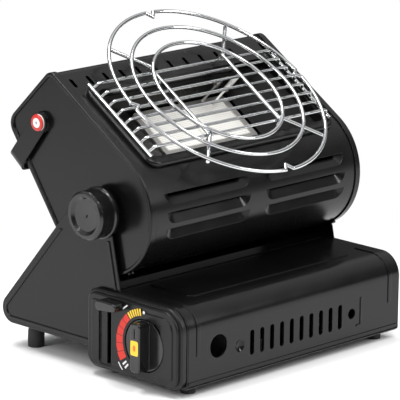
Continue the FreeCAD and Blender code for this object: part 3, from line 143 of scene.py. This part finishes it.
def new_group(name: str, inputs: dict[str, float],
              outputs: dict[str, str]) -> bpy.types.NodeTree:
    """Empty shader group with float inputs and typed outputs.

    Args:
        name: The group's name.
        inputs: Input names with their default values.
        outputs: Output names with their socket types.

    Returns:
        The group, with its input and output nodes placed.
    """
    group = bpy.data.node_groups.new(name, "ShaderNodeTree")
    for label, value in inputs.items():
        socket = group.interface.new_socket(label, in_out="INPUT", socket_type="NodeSocketFloat")
        socket.default_value = value
    for label, kind in outputs.items():
        group.interface.new_socket(label, in_out="OUTPUT", socket_type=kind)
    group.nodes.new("NodeGroupInput").name = "in"
    group.nodes.new("NodeGroupOutput").name = "out"
    return group


def grain_group() -> bpy.types.NodeTree:
    """Surface grain in object space: a fine noise gives the height, and a broad one a slow mask."""
    group = new_group("surface_grain", {"Fine": 900.0, "Broad": 22.0, "Mix": 0.5},
                      {"Height": "NodeSocketFloat", "Mask": "NodeSocketFloat"})
    nodes, links = group.nodes, group.links
    place = nodes.new("ShaderNodeTexCoord")
    fine = nodes.new("ShaderNodeTexNoise")
    fine.inputs["Detail"].default_value = 2.0
    broad = nodes.new("ShaderNodeTexNoise")
    broad.inputs["Detail"].default_value = 5.0
    broad.inputs["Roughness"].default_value = 0.6
    for noise, label in ((fine, "Fine"), (broad, "Broad")):
        links.new(place.outputs["Object"], noise.inputs["Vector"])
        links.new(nodes["in"].outputs[label], noise.inputs["Scale"])
    blend = nodes.new("ShaderNodeMix")
    blend.data_type = "FLOAT"
    links.new(nodes["in"].outputs["Mix"], blend.inputs["Factor"])
    links.new(fine.outputs["Fac"], blend.inputs["A"])
    links.new(broad.outputs["Fac"], blend.inputs["B"])
    links.new(blend.outputs["Result"], nodes["out"].inputs["Height"])
    links.new(broad.outputs["Fac"], nodes["out"].inputs["Mask"])
    return group


def spread_group() -> bpy.types.NodeTree:
    """Spread the middle of a mask over a range of values."""
    group = new_group("value_spread", {"Mask": 0.5, "Low": 0.3, "High": 0.5},
                      {"Value": "NodeSocketFloat"})
    nodes, links = group.nodes, group.links
    remap = nodes.new("ShaderNodeMapRange")
    remap.inputs["From Min"].default_value = 0.3
    remap.inputs["From Max"].default_value = 0.7
    links.new(nodes["in"].outputs["Mask"], remap.inputs["Value"])
    links.new(nodes["in"].outputs["Low"], remap.inputs["To Min"])
    links.new(nodes["in"].outputs["High"], remap.inputs["To Max"])
    links.new(remap.outputs["Result"], nodes["out"].inputs["Value"])
    return group


def mix_tones(nodes: bpy.types.Nodes, first: RGB, second: RGB) -> bpy.types.Node:
    """Colour mix from the first tone at factor 0 to the second at 1."""
    mix = nodes.new("ShaderNodeMix")
    mix.data_type = "RGBA"
    mix.inputs["A"].default_value = (*first, 1.0)
    mix.inputs["B"].default_value = (*second, 1.0)
    return mix


@dataclass
class Workshop:
    """Shared node groups, made once and placed in each finish."""

    grain: bpy.types.NodeTree = field(default_factory=grain_group)
    spread: bpy.types.NodeTree = field(default_factory=spread_group)


@dataclass(frozen=True)
class Finish:
    """One surface finish.

    The colour drifts slowly between two tones and the roughness between two values. The grain
    stands up by a small height, and a bevel radius softens the look of the pressed edges.

    Attributes:
        name: The material's name.
        tone: First colour, linear.
        drift: Second colour, linear.
        rough: Lowest and highest roughness.
        metallic: 1 for bare metal.
        fine: Scale of the fine grain.
        broad: Scale of the slow drift.
        broad_share: Share of the drift in the height.
        bump: Strength of the height.
        reach: Height of the grain.
        edge: Radius that edges are shaded with.
        specular: Level of the clear reflection.
    """

    name: str
    tone: RGB
    drift: RGB
    rough: Span
    metallic: float = 0.0
    fine: float = 900.0
    broad: float = 22.0
    broad_share: float = 0.12
    bump: float = 0.05
    reach: float = 0.0002
    edge: float = 0.0006
    specular: float = 0.5

    def build(self, shop: Workshop) -> bpy.types.Material:
        """Material with the shared groups placed for this finish.

        Args:
            shop: The shared node groups.

        Returns:
            The finished material.
        """
        material = bpy.data.materials.new(self.name)
        material.use_nodes = True
        nodes, links = material.node_tree.nodes, material.node_tree.links
        shader = nodes["Principled BSDF"]
        shader.inputs["Metallic"].default_value = self.metallic
        shader.inputs["Specular IOR Level"].default_value = self.specular
        grain = self._place(nodes, shop.grain, {"Fine": self.fine, "Broad": self.broad,
                                                "Mix": self.broad_share})
        low, high = self.rough
        spread = self._place(nodes, shop.spread, {"Low": low, "High": high})
        links.new(grain.outputs["Mask"], spread.inputs["Mask"])
        links.new(spread.outputs["Value"], shader.inputs["Roughness"])
        tones = mix_tones(nodes, self.tone, self.drift)
        links.new(grain.outputs["Mask"], tones.inputs["Factor"])
        links.new(tones.outputs["Result"], shader.inputs["Base Color"])
        soft = nodes.new("ShaderNodeBevel")
        soft.samples = 4
        soft.inputs["Radius"].default_value = self.edge
        relief = nodes.new("ShaderNodeBump")
        relief.inputs["Strength"].default_value = self.bump
        relief.inputs["Distance"].default_value = self.reach
        links.new(grain.outputs["Height"], relief.inputs["Height"])
        links.new(soft.outputs["Normal"], relief.inputs["Normal"])
        links.new(relief.outputs["Normal"], shader.inputs["Normal"])
        return material

    @staticmethod
    def _place(nodes: bpy.types.Nodes, group: bpy.types.NodeTree,
               values: dict[str, float]) -> bpy.types.Node:
        """Place a group in a material with its own input values."""
        node = nodes.new("ShaderNodeGroup")
        node.node_tree = group
        for label, value in values.items():
            node.inputs[label].default_value = value
        return node


@dataclass(frozen=True)
class CeramicFinish:
    """Fired ceramic with rows of fine flame holes.

    Each cell of a square lattice over X and the slope has a round dot for its hole.

    Attributes:
        slope: Slope of the plates' face, in radians.
        name: The material's name.
        pitch: Size of a cell.
        hole: Radius of a hole, as a share of the cell.
        pale: Colour of the ceramic, linear.
        dark: Colour of a hole, linear.
        rough: Roughness.
        bump: Strength of the relief.
        depth: Depth of a hole.
    """

    slope: float
    name: str = "radiant_ceramic"
    pitch: float = 0.0022
    hole: float = 0.26
    pale: RGB = (0.88, 0.87, 0.83)
    dark: RGB = (0.36, 0.34, 0.31)
    rough: float = 0.8
    bump: float = 0.4
    depth: float = 0.0005

    def build(self, _shop: Workshop) -> bpy.types.Material:
        """Material with dark holes in pale ceramic. It needs none of the shared groups."""
        material = bpy.data.materials.new(self.name)
        material.use_nodes = True
        nodes, links = material.node_tree.nodes, material.node_tree.links
        shader = nodes["Principled BSDF"]
        shader.inputs["Roughness"].default_value = self.rough
        hole = self._hole_mask(nodes, links)
        tones = mix_tones(nodes, self.pale, self.dark)
        links.new(hole, tones.inputs["Factor"])
        links.new(tones.outputs["Result"], shader.inputs["Base Color"])
        relief = nodes.new("ShaderNodeBump")
        relief.inputs["Strength"].default_value = self.bump
        relief.inputs["Distance"].default_value = self.depth
        relief.invert = True
        links.new(hole, relief.inputs["Height"])
        links.new(relief.outputs["Normal"], shader.inputs["Normal"])
        return material

    def _hole_mask(self, nodes: bpy.types.Nodes,
                   links: bpy.types.NodeLinks) -> bpy.types.NodeSocket:
        """Socket that is 1 in the holes and 0 on the ceramic between them."""
        place = nodes.new("ShaderNodeTexCoord")
        turn = nodes.new("ShaderNodeMapping")
        turn.inputs["Rotation"].default_value = (-self.slope, 0.0, 0.0)
        links.new(place.outputs["Object"], turn.inputs["Vector"])
        split = nodes.new("ShaderNodeSeparateXYZ")
        links.new(turn.outputs["Vector"], split.inputs["Vector"])
        squares = []
        for axis in ("X", "Y"):
            cells = self._math(nodes, links, "MULTIPLY", split.outputs[axis], 1.0 / self.pitch)
            within = self._math(nodes, links, "FRACT", cells, 0.0)
            centred = self._math(nodes, links, "SUBTRACT", within, 0.5)
            squares.append(self._math(nodes, links, "MULTIPLY", centred, centred))
        total = self._math(nodes, links, "ADD", *squares)
        return self._math(nodes, links, "LESS_THAN", total, self.hole ** 2)

    @staticmethod
    def _math(nodes: bpy.types.Nodes, links: bpy.types.NodeLinks, operation: str,
              first: bpy.types.NodeSocket,
              second: float | bpy.types.NodeSocket) -> bpy.types.NodeSocket:
        """One maths node on a socket and a number or second socket."""
        node = nodes.new("ShaderNodeMath")
        node.operation = operation
        links.new(first, node.inputs[0])
        if isinstance(second, float):
            node.inputs[1].default_value = second
        else:
            links.new(second, node.inputs[1])
        return node.outputs[0]


def ink(name: str, tone: RGB, drift: RGB, specular: float = 0.5) -> Finish:
    """Finish of a flat print without grain."""
    return Finish(name, tone, drift, (0.4, 0.5), bump=0.0, edge=0.0001, specular=specular)


FINISHES: dict[str, Finish | CeramicFinish] = {
    "black_sheet": Finish(
        "black_enamelled_sheet", (0.0030, 0.0030, 0.0033), (0.0048, 0.0048, 0.0052), (0.19, 0.27),
        fine=1400.0, bump=0.08, reach=0.00012, edge=0.0007, specular=0.26),
    "chrome": Finish(
        "chromed_wire", (0.62, 0.63, 0.64), (0.55, 0.56, 0.57), (0.08, 0.16),
        metallic=1.0, fine=400.0, bump=0.03, reach=0.0001, edge=0.0003),
    "steel": Finish(
        "bare_pressed_steel", (0.50, 0.49, 0.47), (0.40, 0.39, 0.38), (0.30, 0.45),
        metallic=1.0, fine=600.0, broad=30.0, bump=0.06, edge=0.0005),
    "moulding": Finish(
        "satin_black_plastic", (0.0060, 0.0060, 0.0064), (0.0080, 0.0080, 0.0085), (0.14, 0.20),
        fine=2200.0, bump=0.06, reach=0.0001, edge=0.0009),
    "panel": Finish(
        "satin_panel_plastic", (0.0060, 0.0060, 0.0064), (0.0080, 0.0080, 0.0085), (0.26, 0.34),
        fine=2600.0, bump=0.10, reach=0.0001, edge=0.0009, specular=0.25),
    "white": Finish(
        "white_plastic", (0.78, 0.78, 0.76), (0.72, 0.72, 0.70), (0.35, 0.45)),
    "ceramic": CeramicFinish(head_slope()),
    "brass": Finish(
        "turned_brass", (0.60, 0.42, 0.16), (0.50, 0.36, 0.14), (0.22, 0.35),
        metallic=1.0, edge=0.0004),
    "aluminium": Finish(
        "cast_aluminium", (0.42, 0.42, 0.43), (0.36, 0.36, 0.37), (0.40, 0.55),
        metallic=1.0, fine=500.0, bump=0.2, edge=0.0008),
    "rubber": Finish(
        "black_rubber", (0.014, 0.014, 0.014), (0.018, 0.018, 0.018), (0.65, 0.8), edge=0.0008),
    "red_ink": ink("red_ink", (0.66, 0.042, 0.030), (0.62, 0.040, 0.028), specular=0.2),
    "yellow_ink": ink("yellow_ink", (0.90, 0.60, 0.05), (0.86, 0.56, 0.05), specular=0.2),
    "white_ink": ink("white_ink", (0.72, 0.72, 0.72), (0.68, 0.68, 0.68)),
    "red_plastic": Finish(
        "red_plastic", (0.55, 0.02, 0.015), (0.48, 0.018, 0.012), (0.3, 0.4), edge=0.0004),
    "orange_ink": ink("orange_ink", (0.80, 0.16, 0.01), (0.74, 0.14, 0.01)),
    "grey_ink": ink("grey_ink", (0.30, 0.30, 0.31), (0.28, 0.28, 0.29)),
    # Dark sheet of the reflector, with its tone pushed darker still as painted shade for the deep
    # recess round the burner.
    "heated": Finish(
        "heat_darkened_sheet", (0.0026, 0.0025, 0.0024), (0.0050, 0.0047, 0.0044), (0.24, 0.36),
        fine=500.0, broad=45.0, bump=0.15, edge=0.0005, specular=0.25),
}

NODE_FINISHES: dict[str, tuple[str, ...]] = {
    "black_sheet": ("base_pan", "cartridge_lid", "side_plate_right", "side_plate_left",
                    "rear_base", "drum_shell", "back_panel", "end_cap_right", "end_cap_left",
                    "burner_frame", "carry_handle", "rim_screws"),
    # The reflector's finish carries painted shade for the burner recess.
    "heated": ("reflector",),
    "chrome": ("wire_grille", "pot_support", "support_ring_inner", "support_ring_middle",
               "support_ring_outer"),
    "steel": ("burner_body", "ceramic_frame", "mixer_tube", "lid_hinge_rod", "partition_plate",
              "lever_arm", "cartridge_yoke", "cartridge_cradle", "pivot_stud_right",
              "pivot_stud_left", "thermocouple"),
    "moulding": ("control_knob", "lever_knob", "tilt_knob_right", "tilt_knob_left",
                 "pivot_washer_right", "pivot_washer_left", "handle_bushes"),
    "panel": ("control_panel",),
    "white": ("piezo_igniter", "handle_rivets", "igniter_electrode"),
    "ceramic": ("ceramic_plates",),
    "brass": ("valve_spindle", "gas_pipe", "swivel_ring", "swivel_bolt"),
    "aluminium": ("gas_valve",),
    "rubber": ("pipe_grommet", "front_feet", "rear_feet"),
}


class Palette:
    """All the heater's materials, built once."""

    def __init__(self, shop: Workshop) -> None:
        """Build every material from its finish."""
        self.materials = {key: finish.build(shop) for key, finish in FINISHES.items()}

    def __getitem__(self, key: str) -> bpy.types.Material:
        """Material of one finish."""
        return self.materials[key]

    def dress_nodes(self, nodes: dict[str, bpy.types.Object]) -> None:
        """Give each node of the model its material."""
        for key, names in NODE_FINISHES.items():
            for name in names:
                node = nodes[name]
                node.data.materials.clear()
                node.data.materials.append(self[key])
                LOG.info("%s has %s", name, key)


# The heater's own printed marks


Mark = tuple[bpy.types.Object, str, Body]


@dataclass
class PanelPrint:
    """Printed marks on the control panel and the dial: scale, ticks, end marks and grip patch.

    Every mark is a flat sheet a tenth of a millimetre proud of the surface it is printed on.
    Angles run in degrees from the top towards the back of the heater, anticlockwise as the user
    sees them, and radii from the dial's middle.
    """

    face_x: float
    grip_x: float
    dial_y: float
    dial_z: float
    proud: float = 0.0001
    inner: float = 0.0278
    outer: float = 0.0345
    field_count: int = 6
    tick_start: float = 8.0
    tick_pitch: float = 5.6
    tick_span: float = 3.6
    band_start: float = 42.0
    band_pitch: float = 13.8
    band_gap: float = 0.9
    band_growth: float = 0.0005
    end_bar_radii: Span = (0.0300, 0.0362)
    end_bar_starts: Span = (129.0, 135.5)
    end_bar_span: float = 3.2
    off_dot_radius: float = 0.0312
    off_dot_angle: float = 1.0
    off_dot_size: float = 0.0030
    word_bar_radii: Span = (0.0395, 0.0408)
    low_bar_span: Span = (33.0, 44.0)
    high_bar_span: Span = (124.0, 136.0)
    patch_size: Span = (0.0098, 0.0140)
    patch_power: float = 0.3
    patch_dot_size: Span = (0.0034, 0.0062)
    sector_points: int = 9
    patch_points: int = 32

    @classmethod
    def on_model(cls) -> "PanelPrint":
        """Print placed by the control panel's face, the dial's grip and the dial's joint."""
        panel_low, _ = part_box("control_panel")
        knob_low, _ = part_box("control_knob")
        _, dial_y, dial_z = joint("dial_turn")["pos_m"]
        return cls(panel_low.x, knob_low.x, dial_y, dial_z)

    def sector(self, name: str, radii: Span, span: Span) -> bpy.types.Object:
        """Flat ring segment on the panel's face.

        Args:
            name: The piece's name.
            radii: Inner and outer radius.
            span: First and last angle.

        Returns:
            The new piece.
        """
        radius, angle = np.meshgrid(np.linspace(*radii, 2),
                                    np.radians(np.linspace(*span, self.sector_points)),
                                    indexing="ij")
        points = np.stack([np.full_like(radius, self.face_x - self.proud),
                           self.dial_y + radius * np.sin(angle),
                           self.dial_z + radius * np.cos(angle)], axis=-1)
        return make_piece(name, points, grid_faces(2, self.sector_points), smooth=False)

    def patch(self, name: str, centre: Span, size: Span, x: float,
              power: float = 1.0) -> bpy.types.Object:
        """Flat superellipse, from an ellipse at power 1 to a rounded rectangle at a small power.

        Args:
            name: The piece's name.
            centre: Y and Z of its middle.
            size: Width along Y and height along Z.
            x: The plane it lies in.
            power: How round the outline is.

        Returns:
            The new piece.
        """
        angle = np.linspace(0, 2 * math.pi, self.patch_points, endpoint=False)
        u = np.sign(np.cos(angle)) * np.abs(np.cos(angle)) ** power * size[0] / 2
        v = np.sign(np.sin(angle)) * np.abs(np.sin(angle)) ** power * size[1] / 2
        outline = np.stack([np.full_like(u, x), centre[0] + u, centre[1] + v], axis=-1)
        return make_piece(name, outline, [range(self.patch_points - 1, -1, -1)], smooth=False)

    def off_dot(self) -> bpy.types.Object:
        """Round dot at the top of the scale."""
        turn = math.radians(self.off_dot_angle)
        centre = (self.dial_y + self.off_dot_radius * math.sin(turn),
                  self.dial_z + self.off_dot_radius * math.cos(turn))
        return self.patch("scale_off_dot", centre, (self.off_dot_size, self.off_dot_size),
                          self.face_x - self.proud)

    def scale(self) -> list[Mark]:
        """Yellow ticks, the red band that widens downwards, and the white end marks."""
        marks: list[Mark] = []
        for index in range(self.field_count):
            start = self.tick_start + index * self.tick_pitch
            piece = self.sector(f"scale_tick_{index}", (self.inner, self.outer),
                                (start, start + self.tick_span))
            marks.append((piece, "yellow_ink", Body.BASE))
        for index in range(self.field_count):
            start = self.band_start + index * self.band_pitch
            piece = self.sector(f"scale_band_{index}",
                                (self.inner, self.outer + self.band_growth * index),
                                (start, start + self.band_pitch - self.band_gap))
            marks.append((piece, "red_ink", Body.BASE))
        for index, start in enumerate(self.end_bar_starts):
            piece = self.sector(f"scale_end_bar_{index}", self.end_bar_radii,
                                (start, start + self.end_bar_span))
            marks.append((piece, "white_ink", Body.BASE))
        for piece in (self.off_dot(),
                      self.sector("scale_low_bar", self.word_bar_radii, self.low_bar_span),
                      self.sector("scale_high_bar", self.word_bar_radii, self.high_bar_span)):
            marks.append((piece, "white_ink", Body.BASE))
        return marks

    def grip(self) -> list[Mark]:
        """Yellow patch with an orange dot on the front of the dial's grip."""
        x = self.grip_x - self.proud
        middle = (self.dial_y, self.dial_z)
        patch = self.patch("grip_patch", middle, self.patch_size, x, self.patch_power)
        dot = self.patch("grip_dot", middle, self.patch_dot_size, x - self.proud)
        return [(patch, "yellow_ink", Body.DIAL), (dot, "orange_ink", Body.DIAL)]

    def build(self, palette: Palette) -> None:
        """Make and dress every printed mark."""
        for piece, ink_name, body in self.scale() + self.grip():
            dress(piece, palette[ink_name], body)


@dataclass
class RivetFaces:
    """Coloured faces of the two white handle rivets: a red ring and a grey centre dot.

    Attributes:
        cap_x: Outer face of the right rivet's cap.
        centre_y: Y of the rivets' axis.
        centre_z: Z of the rivets' axis.
        cap_radius: Radius of the cap.
        edge_radius: Radius of the cap's rounded edge.
        skin: Height of the paint over the cap.
        ring_inner: Inner radius of the red ring.
        dot_radii: Radius of the dot and of the pinhole in its middle.
        edge_points: Points over the rounded edge.
        steps: Points round the axis.
    """

    cap_x: float
    centre_y: float
    centre_z: float
    cap_radius: float = 0.008
    edge_radius: float = 0.0014
    skin: float = 0.00008
    ring_inner: float = 0.0047
    dot_radii: Span = (0.0001, 0.0013)
    edge_points: int = 7
    steps: int = 40

    @classmethod
    def on_model(cls) -> "RivetFaces":
        """Faces placed by the rivets' caps and the handle's joint."""
        _, rivets_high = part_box("handle_rivets")
        _, centre_y, centre_z = joint("handle_swing")["pos_m"]
        return cls(rivets_high.x, centre_y, centre_z)

    def ring_profile(self) -> np.ndarray:
        """Radius and X of the red ring, from its inner edge over the cap's rounded edge."""
        turn = np.linspace(0.0, math.pi / 2, self.edge_points)
        round_radius = self.edge_radius + self.skin
        flat = self.cap_radius - self.edge_radius
        radius = np.concatenate([[self.ring_inner], flat + round_radius * np.sin(turn)])
        place = np.concatenate([[self.cap_x + self.skin],
                                self.cap_x - self.edge_radius + round_radius * np.cos(turn)])
        return np.stack([radius, place], axis=-1)

    def dot_profile(self) -> np.ndarray:
        """Radius and X of the centre dot."""
        return np.array([[radius, self.cap_x + self.skin] for radius in self.dot_radii])

    def turned(self, name: str, profile: np.ndarray, side: int) -> bpy.types.Object:
        """Surface turned about the rivets' axis from a profile of radius and X.

        Args:
            name: The piece's name.
            profile: Rows of radius and X.
            side: 1 for the right rivet, -1 for the left one.

        Returns:
            The new piece.
        """
        angle = np.linspace(0, 2 * math.pi, self.steps, endpoint=False)
        radius = profile[:, :1]
        points = np.stack([np.broadcast_to(side * profile[:, 1:], (len(profile), self.steps)),
                           self.centre_y + radius * np.cos(angle),
                           self.centre_z + radius * np.sin(angle)], axis=-1)
        faces = grid_faces(len(profile), self.steps, around=True)
        if side < 0:
            faces = faces[:, ::-1]
        return make_piece(name, points, faces)

    def build(self, palette: Palette) -> None:
        """Make and dress the faces of both rivets."""
        for side, label in ((1, "right"), (-1, "left")):
            ring = self.turned(f"rivet_ring_{label}", self.ring_profile(), side)
            dress(ring, palette["red_plastic"], Body.HEAD)
            dot = self.turned(f"rivet_dot_{label}", self.dot_profile(), side)
            dress(dot, palette["grey_ink"], Body.HEAD)


# Camera, lamps and surroundings


@dataclass(frozen=True)
class Lamp:
    """One soft rectangular lamp, aimed at the heater.

    Attributes:
        name: The lamp's name.
        place: Where it hangs.
        size: Its two edges.
        power: Its power, in watts.
    """

    name: str
    place: tuple[float, float, float]
    size: Span
    power: float


LAMPS = (
    Lamp("top_box", (-0.2, 0.35, 1.5), (1.4, 0.25), 22.0),
    Lamp("front_box", (0.9, -1.5, 1.1), (0.25, 1.2), 18.0),
    Lamp("left_box", (-1.7, 0.3, 0.9), (0.2, 1.2), 12.0),
    Lamp("burner_box", (-0.15, -0.75, 1.35), (0.3, 0.3), 7.0),
)


@dataclass
class Studio:
    """Camera, lamps, floor and white surroundings.

    The camera's place and angles, in degrees, were fitted to the photograph. The room's levels
    are pairs of height, from 0 straight down to 1 straight up, and brightness.
    """

    lens: float = 289.43
    sensor_width: float = 36.0
    clip_end: float = 50.0
    camera_place: tuple[float, float, float] = (-2.1287, -2.07565, 0.8838)
    azimuth: float = -45.66
    elevation: float = 14.06
    roll: float = 0.67
    floor_half: float = 6.0
    floor_drop: float = 0.0002
    floor_tone: RGB = (0.9, 0.9, 0.9)
    shadow_reach: Span = (0.16, 0.42)
    lamp_aim: tuple[float, float, float] = (0.0, 0.0, 0.15)
    room_levels: tuple[Span, ...] = ((0.0, 0.30), (0.48, 0.34), (0.54, 0.06), (0.68, 0.10),
                                     (0.85, 0.85), (1.0, 1.0))

    def build(self) -> None:
        """Set up the whole studio."""
        self.camera()
        self.floor()
        self.surroundings()
        self.lamps()
        bpy.context.scene.view_settings.view_transform = "Standard"

    def camera(self) -> None:
        """Camera at the fitted place, looking along the fitted direction."""
        a, e, r = (math.radians(v) for v in (self.azimuth, self.elevation, self.roll))
        back = Vector((math.sin(a) * math.cos(e), -math.cos(a) * math.cos(e), math.sin(e)))
        right = Vector((math.cos(a), math.sin(a), 0.0))
        up = back.cross(right)
        rolled_right = right * math.cos(r) + up * math.sin(r)
        rolled_up = up * math.cos(r) - right * math.sin(r)
        data = bpy.data.cameras.new("camera")
        data.lens = self.lens
        data.sensor_width = self.sensor_width
        data.clip_end = self.clip_end
        camera = bpy.data.objects.new("camera", data)
        bpy.context.scene.collection.objects.link(camera)
        turn = Matrix((rolled_right, rolled_up, back)).transposed()
        camera.matrix_world = Matrix.Translation(Vector(self.camera_place)) @ turn.to_4x4()
        bpy.context.scene.camera = camera

    def floor(self) -> None:
        """Wide pale floor that turns white to the camera and keeps the shadow."""
        half, z = self.floor_half, -self.floor_drop
        corners = np.array([[-half, -half, z], [half, -half, z], [half, half, z],
                            [-half, half, z]])
        floor = make_piece("floor", corners, [(0, 1, 2, 3)], smooth=False)
        material = bpy.data.materials.new("pale_floor")
        material.use_nodes = True
        shader = material.node_tree.nodes["Principled BSDF"]
        shader.inputs["Base Color"].default_value = (*self.floor_tone, 1.0)
        shader.inputs["Roughness"].default_value = 0.9
        shader.inputs["Specular IOR Level"].default_value = 0.0
        self.fade_to_white(material)
        floor.data.materials.append(material)

    def fade_to_white(self, material: bpy.types.Material) -> None:
        """Turn the floor white to the camera away from the heater, so only the shadow shows.

        Args:
            material: The floor's material, with its plain shader.
        """
        nodes, links = material.node_tree.nodes, material.node_tree.links
        place = nodes.new("ShaderNodeTexCoord")
        distance = nodes.new("ShaderNodeVectorMath")
        distance.operation = "LENGTH"
        links.new(place.outputs["Object"], distance.inputs[0])
        fade = nodes.new("ShaderNodeMapRange")
        fade.interpolation_type = "SMOOTHSTEP"
        near, far = self.shadow_reach
        fade.inputs["From Min"].default_value = near
        fade.inputs["From Max"].default_value = far
        links.new(distance.outputs["Value"], fade.inputs["Value"])
        path = nodes.new("ShaderNodeLightPath")
        gate = nodes.new("ShaderNodeMath")
        gate.operation = "MULTIPLY"
        links.new(fade.outputs["Result"], gate.inputs[0])
        links.new(path.outputs["Is Camera Ray"], gate.inputs[1])
        white = nodes.new("ShaderNodeEmission")
        white.inputs["Color"].default_value = (1.0, 1.0, 1.0, 1.0)
        blend = nodes.new("ShaderNodeMixShader")
        links.new(gate.outputs[0], blend.inputs["Fac"])
        links.new(nodes["Principled BSDF"].outputs["BSDF"], blend.inputs[1])
        links.new(white.outputs["Emission"], blend.inputs[2])
        links.new(blend.outputs["Shader"], nodes["Material Output"].inputs["Surface"])

    def surroundings(self) -> None:
        """White world to the camera, and for all else a room that is darkest over the horizon."""
        world = bpy.data.worlds.new("white_room")
        bpy.context.scene.world = world
        world.use_nodes = True
        nodes, links = world.node_tree.nodes, world.node_tree.links
        place = nodes.new("ShaderNodeTexCoord")
        split = nodes.new("ShaderNodeSeparateXYZ")
        links.new(place.outputs["Generated"], split.inputs["Vector"])
        height = nodes.new("ShaderNodeMapRange")
        height.inputs["From Min"].default_value = -1.0
        links.new(split.outputs["Z"], height.inputs["Value"])
        room = nodes.new("ShaderNodeValToRGB")
        room.color_ramp.interpolation = "EASE"
        stops = room.color_ramp.elements
        stops.remove(stops[1])
        for stop_height, level in self.room_levels:
            stops.new(stop_height).color = (level, level, level, 1.0)
        links.new(height.outputs["Result"], room.inputs["Fac"])
        path = nodes.new("ShaderNodeLightPath")
        seen = nodes.new("ShaderNodeMath")
        seen.operation = "MAXIMUM"
        links.new(path.outputs["Is Camera Ray"], seen.inputs[0])
        links.new(path.outputs["Is Transmission Ray"], seen.inputs[1])
        tone = nodes.new("ShaderNodeMix")
        tone.data_type = "RGBA"
        tone.inputs["B"].default_value = (1.0, 1.0, 1.0, 1.0)
        links.new(seen.outputs[0], tone.inputs["Factor"])
        links.new(room.outputs["Color"], tone.inputs["A"])
        links.new(tone.outputs["Result"], nodes["Background"].inputs["Color"])

    def lamps(self) -> None:
        """Soft strips over the top, to the front right and to the left, and one on the burner."""
        for lamp in LAMPS:
            data = bpy.data.lights.new(lamp.name, "AREA")
            data.shape = "RECTANGLE"
            data.size, data.size_y = lamp.size
            data.energy = lamp.power
            light = bpy.data.objects.new(lamp.name, data)
            bpy.context.scene.collection.objects.link(light)
            light.location = lamp.place
            aim = Vector(self.lamp_aim) - Vector(lamp.place)
            light.rotation_euler = aim.to_track_quat("-Z", "Y").to_euler()


def main() -> None:
    """Dress the model, add the marks and set up the studio."""
    palette = Palette(Workshop())
    palette.dress_nodes(frame["nodes"])
    PanelPrint.on_model().build(palette)
    RivetFaces.on_model().build(palette)
    Studio().build()


if __name__ == "__main__":
    main()
